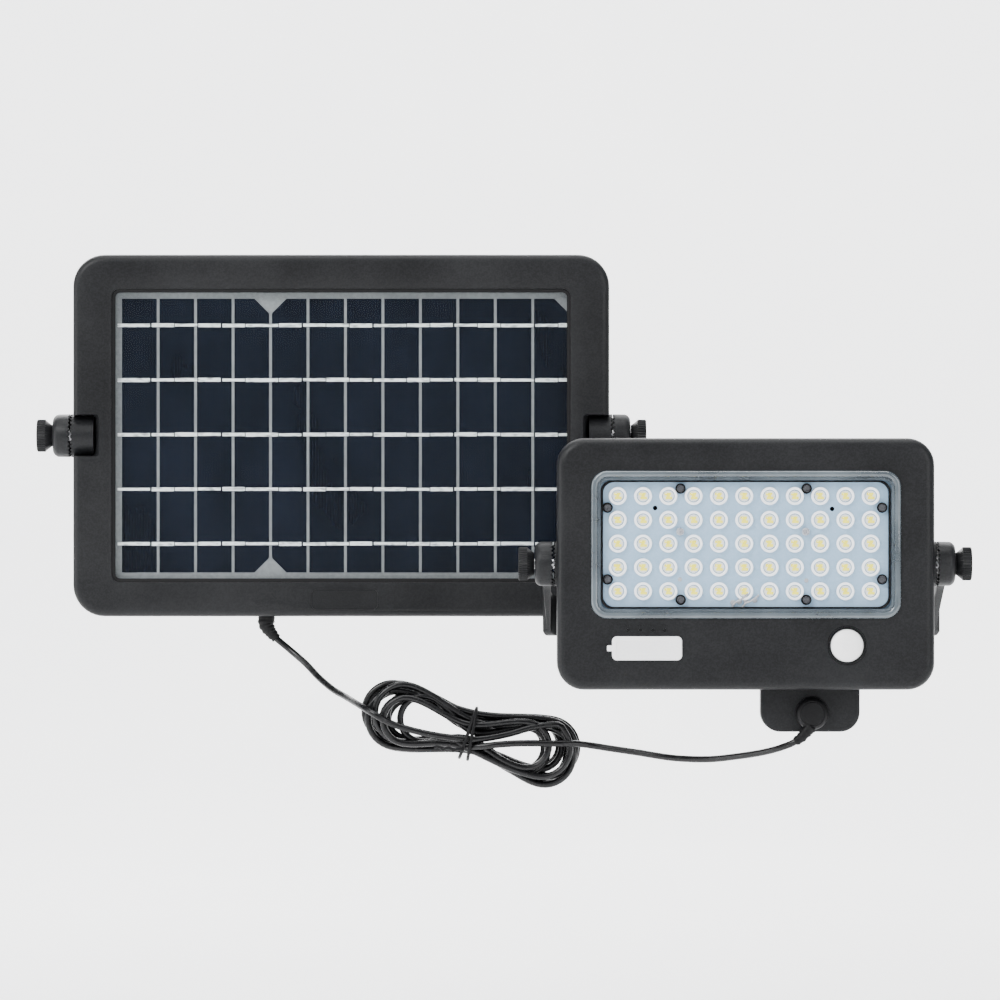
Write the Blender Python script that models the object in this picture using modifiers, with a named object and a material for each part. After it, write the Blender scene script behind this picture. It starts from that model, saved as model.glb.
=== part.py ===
"""Solar flood light: a framed solar panel and an LED flood light with a motion sensor.

Each unit hangs between the arms of its own wall bracket, on two toothed bosses that a thumb knob clamps,
and a tied hank of cable joins them. Metres, +X right, +Y into the wall, +Z up.
The origin is the middle of the panel bracket's wall face. Each unit is modelled about its own tilt axis.
"""

import math

import bmesh
import bpy
from mathutils import Matrix, Vector

# Both units: the toothed joint, the thumb knob and the wall bracket.
BOSS_R = 0.0123
BOSS_LENGTH = 0.0092
BOSS_EDGE = 0.0040
TEETH = 16
TOOTH_H = 0.0008
TOOTH_INNER_R = 0.0075
EAR_PROUD = 0.0010
JOINT_GAP = 0.00035
STUD_R = 0.0029
BORE_R = 0.0033
INSERT_R = 0.0045
INSERT_LENGTH = 0.0085
KNOB_R = 0.00925
KNOB_NECK_R = 0.0060
KNOB_CONE = 0.0036
KNOB_HEAD = 0.0052
STRAP_T = 0.0045
STRAP_W = 0.0220
BASE_T = 0.0040
BASE_CORNER_R = 0.0100
SLOT_R = 0.0026
SLOT_LENGTH = 0.0140
GAP = 0.0003

# The panel unit.
PANEL_AXIS_Y = -0.066
PANEL_W = 0.3060
PANEL_H = 0.2065
PANEL_CORNER = 0.0180
PANEL_FRONT = -0.0135
PANEL_REAR = 0.0105
PANEL_WALL = 0.0030
PANEL_EDGE = 0.0043
WINDOW_W = 0.2617
WINDOW_H = 0.1673
WINDOW_CORNER = 0.0046
NOTCH_INNER = 0.1385
NOTCH_HALF_H = 0.0116
NOTCH_SLOPE = 0.0045
GLASS_T = 0.0030
STRIPS = 12
STRIP_W = 0.0198
STRIP_PITCH = 0.0214
STRIP_H = 0.1563
CELL_X = 0.0023
BOOT_X = -0.0430
LABEL_SIZE = (0.038, 0.012)
LABEL_AT = (0.0020, -0.0935)

# The flood light unit.
LIGHT_AT = (0.2258, -0.193, -0.072)
LIGHT_BRACKET_DEPTH = 0.060
LIGHT_W = 0.2077
LIGHT_H = 0.1385
LIGHT_CORNER = 0.0150
LIGHT_FRONT = -0.0170
LIGHT_REAR = 0.0130
LIGHT_WALL = 0.0025
LIGHT_EDGE = 0.0050
COVER_SIZE = (0.1703, 0.0813)
COVER_CORNER = 0.0090
COVER_Z = 0.0107
SKIRT_SIZE = (0.1634, 0.0744)
BOARD_SIZE = (0.1720, 0.0830)
LED_COLUMNS = 11
LED_ROWS = 5
LED_PITCH = (0.01392, 0.0131)
LED_AT = (-0.0008, 0.0112)
LENS_R = 0.0050
BOX_SIZE = (0.120, 0.080)
BOX_REAR = 0.035
LUG_X = (0.0088, 0.0637)
LUG_BOTTOM = -0.0930
LUG_CORNER = 0.0110
LUG_FRONT = 0.0030
PLUG_AT = (0.0372, -0.0827)
PLUG_R = 0.0090
PLUG_NECK = (-0.0008, -0.0073)
PIR_AT = (0.0555, -0.0448)
PIR_R = 0.0090
PORT_AT = (-0.0544, -0.0463)
PORT_COVER_SIZE = (0.0385, 0.0132)
PORT_SIZE = (0.0362, 0.0112)
PORT_DEPTH = 0.0085
TETHER_END = -0.0764
INDICATOR_X = (-0.0647, -0.0580, -0.0511, -0.0446)
INDICATOR_Z = -0.0364
BUTTON_X = -0.0450
CHARGE_PORT_X = -0.0610
BUTTON_R = 0.0028
SCREW_SPOTS = (
    (-0.0359, 0.0415), (0.0335, 0.0415), (-0.0358, -0.0197), (0.0333, -0.0197),
    (-0.0760, 0.0310), (0.0750, 0.0310), (-0.0760, -0.0085), (0.0750, -0.0085),
)
BOARD_SCREW_SPOTS = ((-0.0361, 0.0178), (0.0331, 0.0178))
REAR_SCREW_SPOTS = ((-0.0480, 0.0280), (0.0480, 0.0280), (-0.0480, -0.0280), (0.0480, -0.0280))

# The cable: its thickness, its routes from unit to hank, and the hank's outline.
CORD_R = 0.0019
CORD_CLEARANCE = 0.0010
HANK_AT = (0.0737, -0.1250, -0.1680)
HANK_TILT = math.radians(-14)
HANK_LENGTH = 0.1290
HANK_WIDTH = 0.0360
HANK_DEPTH = 0.0180
LEFT_ROUTE = (
    (-0.0372, -0.0663, -0.1162), (-0.0288, -0.0680, -0.1231), (-0.0200, -0.0745, -0.1305),
    (-0.0125, -0.0840, -0.1379), (-0.0040, -0.0965, -0.1444), (0.0035, -0.1085, -0.1482),
    (0.0098, -0.1180, -0.1508),
)
RIGHT_ROUTE = (
    (0.1408, -0.1330, -0.1745), (0.1520, -0.1350, -0.1762), (0.1682, -0.1400, -0.1784),
    (0.1875, -0.1500, -0.1810), (0.2063, -0.1620, -0.1812), (0.2211, -0.1730, -0.1793),
    (0.2345, -0.1835, -0.1768), (0.2445, -0.1912, -0.1740), (0.2520, -0.1950, -0.1710),
    (0.2562, -0.1955, -0.1684),
)

CORNER_STEPS = 3
ROUND_STEPS = 20
SMALL_STEPS = 12

for old in list(bpy.data.objects):
    bpy.data.objects.remove(old, do_unlink=True)

parts = bpy.data.collections.new("solar_flood_light")
cutters = bpy.data.collections.new("cutters")
bpy.context.scene.collection.children.link(parts)
bpy.context.scene.collection.children.link(cutters)


def make_material(name, colour, roughness, metallic=0.0, alpha=1.0):
    """A Principled material of one colour."""
    made = bpy.data.materials.new(name)
    made.use_nodes = True
    shader = made.node_tree.nodes["Principled BSDF"]
    shader.inputs["Base Color"].default_value = (*colour, 1.0)
    shader.inputs["Roughness"].default_value = roughness
    shader.inputs["Metallic"].default_value = metallic
    shader.inputs["Alpha"].default_value = alpha
    made.diffuse_color = (*colour, alpha)
    return made


BLACK_PLASTIC = make_material("black_plastic", (0.030, 0.031, 0.033), 0.55)
BLACK_RUBBER = make_material("black_rubber", (0.015, 0.015, 0.016), 0.70)
GLOSS_CORD = make_material("cord_sheath", (0.012, 0.012, 0.013), 0.25)
CELL_BLUE = make_material("cell_silicon", (0.012, 0.016, 0.028), 0.30)
BACKSHEET = make_material("backsheet", (0.45, 0.46, 0.48), 0.60)
CLEAR_GLASS = make_material("clear_glass", (0.90, 0.95, 0.97), 0.05, 0.0, 0.25)
CLEAR_PLASTIC = make_material("clear_plastic", (0.93, 0.96, 1.00), 0.08, 0.0, 0.25)
WHITE_RUBBER = make_material("white_rubber", (0.85, 0.85, 0.85), 0.55)
PIR_WHITE = make_material("sensor_white", (0.90, 0.90, 0.90), 0.40)
BOARD_WHITE = make_material("board_white", (0.62, 0.72, 0.80), 0.45)
BOARD_GREEN = make_material("board_green", (0.03, 0.16, 0.07), 0.40)
STEEL = make_material("zinc_steel", (0.60, 0.60, 0.62), 0.30, 1.0)
BRASS = make_material("brass", (0.72, 0.53, 0.24), 0.30, 1.0)
CELL_WRAP = make_material("battery_wrap", (0.05, 0.20, 0.42), 0.35)


def add_object(name, mesh, material=None, at=(0, 0, 0), parent=None, collection=parts):
    """An object that holds the mesh, in a collection, at a place under its parent."""
    made = bpy.data.objects.new(name, mesh)
    collection.objects.link(made)
    made.location = at
    made.parent = parent
    if material:
        mesh.materials.append(material)
    return made


def shade(made, angle=35):
    """Smooth shading with sharp edges over the angle in degrees."""
    made.data.shade_smooth()
    made.data.set_sharp_from_angle(angle=math.radians(angle))
    return made


def cut(made, cutter, operation="DIFFERENCE"):
    """Applies a Boolean between two objects with a modifier, and hides the second one."""
    joined = made.modifiers.new(cutter.name, "BOOLEAN")
    joined.operation = operation
    joined.solver = "EXACT"
    joined.object = cutter
    cutter.hide_render = True
    cutter.display_type = "WIRE"
    return made


def rounded_outline(width, height, radius, centre=(0.0, 0.0), steps=CORNER_STEPS):
    """Points round a rectangle with round corners, anticlockwise in X and Z."""
    points = []
    for corner in range(4):
        turn = math.pi / 2 * corner
        side_x = 1 if corner in (0, 3) else -1
        side_z = 1 if corner in (0, 1) else -1
        middle_x = centre[0] + side_x * (width / 2 - radius)
        middle_z = centre[1] + side_z * (height / 2 - radius)
        for step in range(steps + 1):
            angle = turn + math.pi / 2 * step / steps
            points.append((middle_x + radius * math.cos(angle), middle_z + radius * math.sin(angle)))
    return points


def loft(name, sections, material=None, at=(0, 0, 0), parent=None, ring=False, collection=parts,
         steps=CORNER_STEPS):
    """A body through rounded rectangles (width, height, radius, y, centre), capped, or a closed ring."""
    mesh = bpy.data.meshes.new(name)
    bm = bmesh.new()
    loops = []
    for section in sections:
        width, height, radius, y = section[:4]
        centre = section[4] if len(section) > 4 else (0.0, 0.0)
        outline = rounded_outline(width, height, radius, centre, steps)
        loops.append([bm.verts.new((x, y, z)) for x, z in outline])
    pairs = list(zip(loops, loops[1:]))
    if ring:
        pairs.append((loops[-1], loops[0]))
    else:
        bm.faces.new(loops[0])
        bm.faces.new(loops[-1])
    for first, second in pairs:
        for i in range(len(first)):
            j = (i + 1) % len(first)
            bm.faces.new((first[i], first[j], second[j], second[i]))
    bmesh.ops.recalc_face_normals(bm, faces=bm.faces)
    bm.to_mesh(mesh)
    bm.free()
    return shade(add_object(name, mesh, material, at, parent, collection))


def turned(name, profile, material=None, at=(0, 0, 0), axis="Y", parent=None, steps=ROUND_STEPS,
           collection=parts):
    """A turned body. The profile is (radius, height) from the top centre out and down to the foot."""
    mesh = bpy.data.meshes.new(name)
    edges = [(i, i + 1) for i in range(len(profile) - 1)]
    mesh.from_pydata([(radius, 0.0, height) for radius, height in profile], edges, [])
    made = add_object(name, mesh, material, at, parent, collection)
    screw = made.modifiers.new("turn", "SCREW")
    screw.steps = steps
    screw.render_steps = steps
    screw.use_merge_vertices = True
    screw.merge_threshold = 0.00001
    screw.use_smooth_shade = False
    turns = {"-Y": (math.pi / 2, 0, 0), "Y": (-math.pi / 2, 0, 0), "X": (0, math.pi / 2, 0),
             "-X": (0, -math.pi / 2, 0), "Z": (0, 0, 0)}
    made.rotation_euler = turns[axis]
    return made


def box(name, low, high, material=None, parent=None, collection=parts, bevel=0.0):
    """A box between two corners, with its edges bevelled if asked."""
    mesh = bpy.data.meshes.new(name)
    bm = bmesh.new()
    size = [b - a for a, b in zip(low, high)]
    middle = [(a + b) / 2 for a, b in zip(low, high)]
    bmesh.ops.create_cube(bm, size=1.0, matrix=Matrix.Translation(middle) @ Matrix.Diagonal((*size, 1.0)))
    bm.to_mesh(mesh)
    bm.free()
    made = add_object(name, mesh, material, (0, 0, 0), parent, collection)
    if bevel:
        edge = made.modifiers.new("edge", "BEVEL")
        edge.width = bevel
        edge.segments = 1
    return made


def cylinders(name, spots, radius, low_y, high_y, parent, steps=SMALL_STEPS):
    """Several cylinders along Y in one cutter, at places given in X and Z."""
    mesh = bpy.data.meshes.new(name)
    bm = bmesh.new()
    for x, z in spots:
        place = Matrix.Translation((x, (low_y + high_y) / 2, z)) @ Matrix.Rotation(math.pi / 2, 4, "X")
        bmesh.ops.create_cone(bm, cap_ends=True, segments=steps, radius1=radius, radius2=radius,
                              depth=high_y - low_y, matrix=place)
    bm.to_mesh(mesh)
    bm.free()
    return add_object(name, mesh, None, (0, 0, 0), parent, cutters)


def toothed_boss(name, side, root_x, end_x, facing, phase, edge, parent, bore):
    """A boss about X whose face at root_x carries radial teeth towards facing, with a bore through it."""
    towards = 1 if facing else -1
    away = -towards
    section = [(bore, root_x, 0.0), (TOOTH_INNER_R, root_x, 0.0), (BOSS_R, root_x, TOOTH_H)]
    if edge:
        section.append((BOSS_R, end_x - away * edge, 0.0))
        section.append((BOSS_R - edge * 0.29, end_x - away * edge * 0.29, 0.0))
    section.append((BOSS_R - edge, end_x, 0.0))
    section.append((bore, end_x, 0.0))
    mesh = bpy.data.meshes.new(name)
    bm = bmesh.new()
    count = TEETH * 2
    rings = []
    for radius, along, tooth in section:
        ring = []
        for k in range(count):
            angle = 2 * math.pi * (k + 0.5) / count
            lift = tooth if (k + phase) % 2 else 0.0
            x = side * (along + towards * lift)
            ring.append(bm.verts.new((x, radius * math.cos(angle), radius * math.sin(angle))))
        rings.append(ring)
    for first, second in zip(rings, rings[1:] + rings[:1]):
        for k in range(count):
            j = (k + 1) % count
            bm.faces.new((first[k], first[j], second[j], second[k]))
    bmesh.ops.recalc_face_normals(bm, faces=bm.faces)
    bm.to_mesh(mesh)
    bm.free()
    return add_object(name, mesh, None, (0, 0, 0), parent, cutters)


def u_bracket(name, half_width, depth, drop, parent, arm_taper):
    """A wall bracket: a strap bent to a U round the unit, with a toothed boss at the end of each arm."""
    arm_in = half_width + EAR_PROUD + TOOTH_H * 2 + JOINT_GAP + 0.0001
    arm_out = arm_in + STRAP_T
    boss_root = half_width + EAR_PROUD + TOOTH_H * 2 + JOINT_GAP
    front = -0.004
    outer = [(arm_in, front), (arm_out, front)]
    inner = []
    inner_r = BASE_CORNER_R - BASE_T
    for step in range(CORNER_STEPS + 1):
        angle = math.pi / 2 * step / CORNER_STEPS
        outer.append((arm_out - BASE_CORNER_R * (1 - math.cos(angle)),
                      depth - BASE_CORNER_R * (1 - math.sin(angle))))
        inner.append((arm_in - inner_r * (1 - math.cos(angle)),
                      depth - BASE_T - inner_r * (1 - math.sin(angle))))
    outer_left = [(-x, y) for x, y in reversed(outer)]
    inner_left = [(-x, y) for x, y in inner]
    whole = outer + outer_left + inner_left + list(reversed(inner))
    mesh = bpy.data.meshes.new(name)
    bm = bmesh.new()
    levels = []
    for level in (-STRAP_W / 2, STRAP_W / 2):
        ring = []
        for x, y in whole:
            share = min(1.0, max(0.0, (y - 0.010) / (depth - BASE_T - 0.010)))
            on_arm = abs(x) > arm_out - 0.0001 and y < depth - BASE_CORNER_R + 0.0001
            narrow = arm_taper * share if on_arm and level < 0 else 0.0
            ring.append(bm.verts.new((x - math.copysign(narrow, x), y, level - drop * share)))
        levels.append(ring)
    bm.faces.new(levels[0])
    bm.faces.new(levels[1])
    for k in range(len(whole)):
        j = (k + 1) % len(whole)
        bm.faces.new((levels[0][k], levels[0][j], levels[1][j], levels[1][k]))
    bmesh.ops.recalc_face_normals(bm, faces=bm.faces)
    bm.to_mesh(mesh)
    bm.free()
    made = add_object(name, mesh, BLACK_PLASTIC, (0, 0, 0), parent)
    for side in (-1, 1):
        boss = toothed_boss(f"{name}_boss_{side}", side, boss_root, boss_root + BOSS_LENGTH, False, 1,
                            BOSS_EDGE, parent, 0.0010)
        cut(made, boss, "UNION")
        hole = turned(f"{name}_bore_{side}", [(0, 0.02), (BORE_R, 0.02), (BORE_R, -0.02), (0, -0.02)],
                      None, (side * (boss_root + 0.005), 0, 0), "X", parent, SMALL_STEPS, cutters)
        cut(made, hole)
        place = (side * half_width * 0.55, -drop)
        slot = loft(f"{name}_slot_{side}",
                    [(SLOT_LENGTH, 2 * SLOT_R, SLOT_R * 0.999, depth - 0.010, place),
                     (SLOT_LENGTH, 2 * SLOT_R, SLOT_R * 0.999, depth + 0.010, place)],
                    None, (0, 0, 0), parent, False, cutters)
        cut(made, slot)
    return made


def thumb_knob(name, side, half_width, parent):
    """A thumb knob on its stud: the moulded head, and the steel stud that reaches the ear's insert."""
    start = half_width + EAR_PROUD + TOOTH_H * 2 + JOINT_GAP + BOSS_LENGTH + GAP
    head = start + KNOB_CONE
    end = head + KNOB_HEAD
    hole_end = start + 0.0062
    profile = [
        (0.0, end), (KNOB_R - 0.0006, end), (KNOB_R, end - 0.0006), (KNOB_R, head),
        (KNOB_NECK_R, start), (STUD_R + GAP, start), (STUD_R + GAP, hole_end), (0.0, hole_end),
    ]
    axis = "X" if side > 0 else "-X"
    knob = turned(f"{name}_knob", profile, BLACK_PLASTIC, (0, 0, 0), axis, parent)
    stud = [(0.0, hole_end - GAP), (STUD_R, hole_end - GAP), (STUD_R, half_width - 0.0065),
            (STUD_R - 0.0008, half_width - 0.0075), (0.0, half_width - 0.0075)]
    turned(f"{name}_stud", stud, STEEL, (0, 0, 0), axis, parent, SMALL_STEPS)
    return knob


def ear_insert(name, side, half_width, parent):
    """A brass insert in the ear, which the stud screws into."""
    outer = half_width + EAR_PROUD - 0.0006
    profile = [(BORE_R, outer), (INSERT_R, outer), (INSERT_R, outer - INSERT_LENGTH),
               (BORE_R, outer - INSERT_LENGTH), (BORE_R, outer)]
    return turned(name, profile, BRASS, (0, 0, 0), "X" if side > 0 else "-X", parent, SMALL_STEPS)


def add_ears(body, name, half_width, inner_x, parent):
    """Joins a toothed ear to each side of a unit's body, with the blind hole for its insert."""
    for side in (-1, 1):
        ear = toothed_boss(f"{name}_ear_{side}", side, half_width + EAR_PROUD, inner_x, True, 0, 0.0,
                           parent, 0.0010)
        cut(body, ear, "UNION")
        outer = half_width + 0.010
        foot = half_width + EAR_PROUD - INSERT_LENGTH - 0.0015
        hole = turned(f"{name}_hole_{side}",
                      [(0, outer), (INSERT_R + GAP, outer), (INSERT_R + GAP, foot), (0, foot)],
                      None, (0, 0, 0), "X" if side > 0 else "-X", parent, SMALL_STEPS, cutters)
        cut(body, hole)


def panel_unit(pivot):
    """The solar panel: frame, laminate, back cover, junction box, cable boot and clamping hardware."""
    half = PANEL_W / 2
    inner_w = PANEL_W - 2 * PANEL_WALL
    inner_h = PANEL_H - 2 * PANEL_WALL
    face_back = PANEL_FRONT + PANEL_WALL
    edge = PANEL_EDGE
    frame = loft("panel_frame", [
        (WINDOW_W, WINDOW_H, WINDOW_CORNER, face_back),
        (WINDOW_W, WINDOW_H, WINDOW_CORNER, PANEL_FRONT),
        (PANEL_W - 2 * edge, PANEL_H - 2 * edge, PANEL_CORNER - edge, PANEL_FRONT),
        (PANEL_W - 0.6 * edge, PANEL_H - 0.6 * edge, PANEL_CORNER - 0.3 * edge, PANEL_FRONT + 0.3 * edge),
        (PANEL_W, PANEL_H, PANEL_CORNER, PANEL_FRONT + edge),
        (PANEL_W, PANEL_H, PANEL_CORNER, PANEL_REAR),
        (inner_w, inner_h, PANEL_CORNER - PANEL_WALL, PANEL_REAR),
        (inner_w, inner_h, PANEL_CORNER - PANEL_WALL, face_back),
    ], BLACK_PLASTIC, (0, 0, 0), pivot, ring=True)
    for side in (-1, 1):
        low_x, high_x = sorted((side * (half - PANEL_WALL / 2), side * (NOTCH_INNER - 0.0020)))
        block = box(f"panel_block_{side}", (low_x, face_back - 0.001, -0.0155),
                    (high_x, PANEL_REAR + 0.0015, 0.0155), None, pivot, cutters)
        cut(frame, block, "UNION")
        notch = box(f"panel_notch_{side}", *[
            tuple(v) for v in zip(*[sorted(pair) for pair in (
                (side * NOTCH_INNER, side * (half + 0.010)), (PANEL_FRONT - 0.010, 0.0),
                (-NOTCH_HALF_H, NOTCH_HALF_H))])
        ], None, pivot, cutters)
        for vertex in notch.data.vertices:
            if abs(vertex.co.x) < half and vertex.co.y > -0.001:
                vertex.co.x = side * (NOTCH_INNER + NOTCH_SLOPE)
        cut(frame, notch)
    add_ears(frame, "panel", half, NOTCH_INNER + 0.0030, pivot)
    label = loft("panel_label_recess", [
        (*LABEL_SIZE, 0.003, PANEL_FRONT - 0.001, LABEL_AT), (*LABEL_SIZE, 0.003, PANEL_FRONT + 0.0005, LABEL_AT),
    ], None, (0, 0, 0), pivot, False, cutters)
    cut(frame, label)
    cable_hole = turned("panel_cable_hole",
                        [(0, -0.095), (0.0042, -0.095), (0.0042, -0.110), (0, -0.110)],
                        None, (BOOT_X, 0, 0), "Z", pivot, SMALL_STEPS, cutters)
    cut(frame, cable_hole)

    glass_front = face_back + GAP
    glass_back = glass_front + GLASS_T
    glass_w = WINDOW_W + 0.010
    glass_h = WINDOW_H + 0.010
    loft("panel_seal", [
        (WINDOW_W - 0.0042, WINDOW_H - 0.0042, WINDOW_CORNER - 0.0021, glass_front - GAP),
        (WINDOW_W - 0.0042, WINDOW_H - 0.0042, WINDOW_CORNER - 0.0021, PANEL_FRONT + 0.0012),
        (WINDOW_W - 0.0006, WINDOW_H - 0.0006, WINDOW_CORNER - 0.0003, PANEL_FRONT + 0.0008),
        (WINDOW_W - 0.0006, WINDOW_H - 0.0006, WINDOW_CORNER - 0.0003, glass_front - GAP),
    ], BLACK_RUBBER, (0, 0, 0), pivot, ring=True)
    loft("panel_glass", [
        (glass_w, glass_h, 0.003, glass_front), (glass_w, glass_h, 0.003, glass_back),
    ], CLEAR_GLASS, (0, 0, 0), pivot, steps=2)
    cell_front = glass_back + GAP
    first = CELL_X - STRIP_PITCH * (STRIPS - 1) / 2
    cells = box("cell_layer", (-glass_w / 2, cell_front + 0.0002, -glass_h / 2),
                (glass_w / 2, cell_front + 0.0006, glass_h / 2), CELL_BLUE, pivot)
    for k in range(STRIPS):
        x = first + k * STRIP_PITCH
        strip = box(f"cell_strip_{k}", (x - STRIP_W / 2, cell_front, -STRIP_H / 2),
                    (x + STRIP_W / 2, cell_front + 0.0004, STRIP_H / 2), None, pivot, cutters)
        cut(cells, strip, "UNION")
    sheet_front = cell_front + 0.0006 + GAP
    loft("panel_backsheet", [
        (glass_w, glass_h, 0.003, sheet_front), (glass_w, glass_h, 0.003, sheet_front + 0.0010),
    ], BACKSHEET, (0, 0, 0), pivot, steps=2)
    box("panel_junction_box", (BOOT_X - 0.020, sheet_front + 0.0010 + GAP, -0.0950),
        (BOOT_X + 0.020, 0.0075, -0.0650), BLACK_PLASTIC, pivot, bevel=0.0012)
    rear_in = PANEL_REAR + GAP
    back_cover = loft("panel_back_cover", [
        (PANEL_W - 0.0010, PANEL_H - 0.0010, PANEL_CORNER - 0.0005, rear_in),
        (PANEL_W - 0.0010, PANEL_H - 0.0010, PANEL_CORNER - 0.0005, rear_in + 0.0008),
        (PANEL_W - 0.0040, PANEL_H - 0.0040, PANEL_CORNER - 0.0020, rear_in + 0.0020),
    ], BLACK_PLASTIC, (0, 0, 0), pivot)
    for side in (-1, 1):
        low_x, high_x = sorted((side * (NOTCH_INNER - 0.0025), side * (half + 0.005)))
        relief = box(f"back_cover_relief_{side}", (low_x, 0.0, -0.0160), (high_x, 0.020, 0.0160),
                     None, pivot, cutters)
        cut(back_cover, relief)
    boot_top = -PANEL_H / 2 + PANEL_WALL + 0.004
    boot = turned("panel_cable_boot", [
        (0.0, boot_top), (0.0060, boot_top), (0.0060, -PANEL_H / 2 + PANEL_WALL + GAP),
        (0.0039, -PANEL_H / 2 + PANEL_WALL + GAP), (0.0039, -PANEL_H / 2 - GAP),
        (0.0050, -PANEL_H / 2 - GAP), (0.0047, -PANEL_H / 2 - 0.0040), (0.0036, -PANEL_H / 2 - 0.0080),
        (0.0, -PANEL_H / 2 - 0.0080),
    ], BLACK_RUBBER, (BOOT_X, 0, 0), "Z", pivot, SMALL_STEPS)
    nose_from = Vector((BOOT_X, 0, -PANEL_H / 2 - 0.0055))
    cord_start = Vector(LEFT_ROUTE[0]) - Vector((0, PANEL_AXIS_Y, 0))
    nose_to = cord_start + (nose_from - cord_start).normalized() * CORD_CLEARANCE
    nose = cone_between("panel_boot_nose", nose_from, nose_to, 0.0036, 0.0027, pivot)
    cut(boot, nose, "UNION")
    for side, hand in ((-1, "left"), (1, "right")):
        ear_insert(f"panel_insert_{hand}", side, half, pivot)


def cone_between(name, start, end, start_r, end_r, parent):
    """A tapered round bar from one point to another, to be joined to a part."""
    mesh = bpy.data.meshes.new(name)
    bm = bmesh.new()
    along = end - start
    turn = along.to_track_quat("Z", "Y").to_matrix().to_4x4()
    place = Matrix.Translation((start + end) / 2) @ turn
    bmesh.ops.create_cone(bm, cap_ends=True, segments=SMALL_STEPS, radius1=start_r, radius2=end_r,
                          depth=along.length, matrix=place)
    bm.to_mesh(mesh)
    bm.free()
    return add_object(name, mesh, None, (0, 0, 0), parent, cutters)


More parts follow.
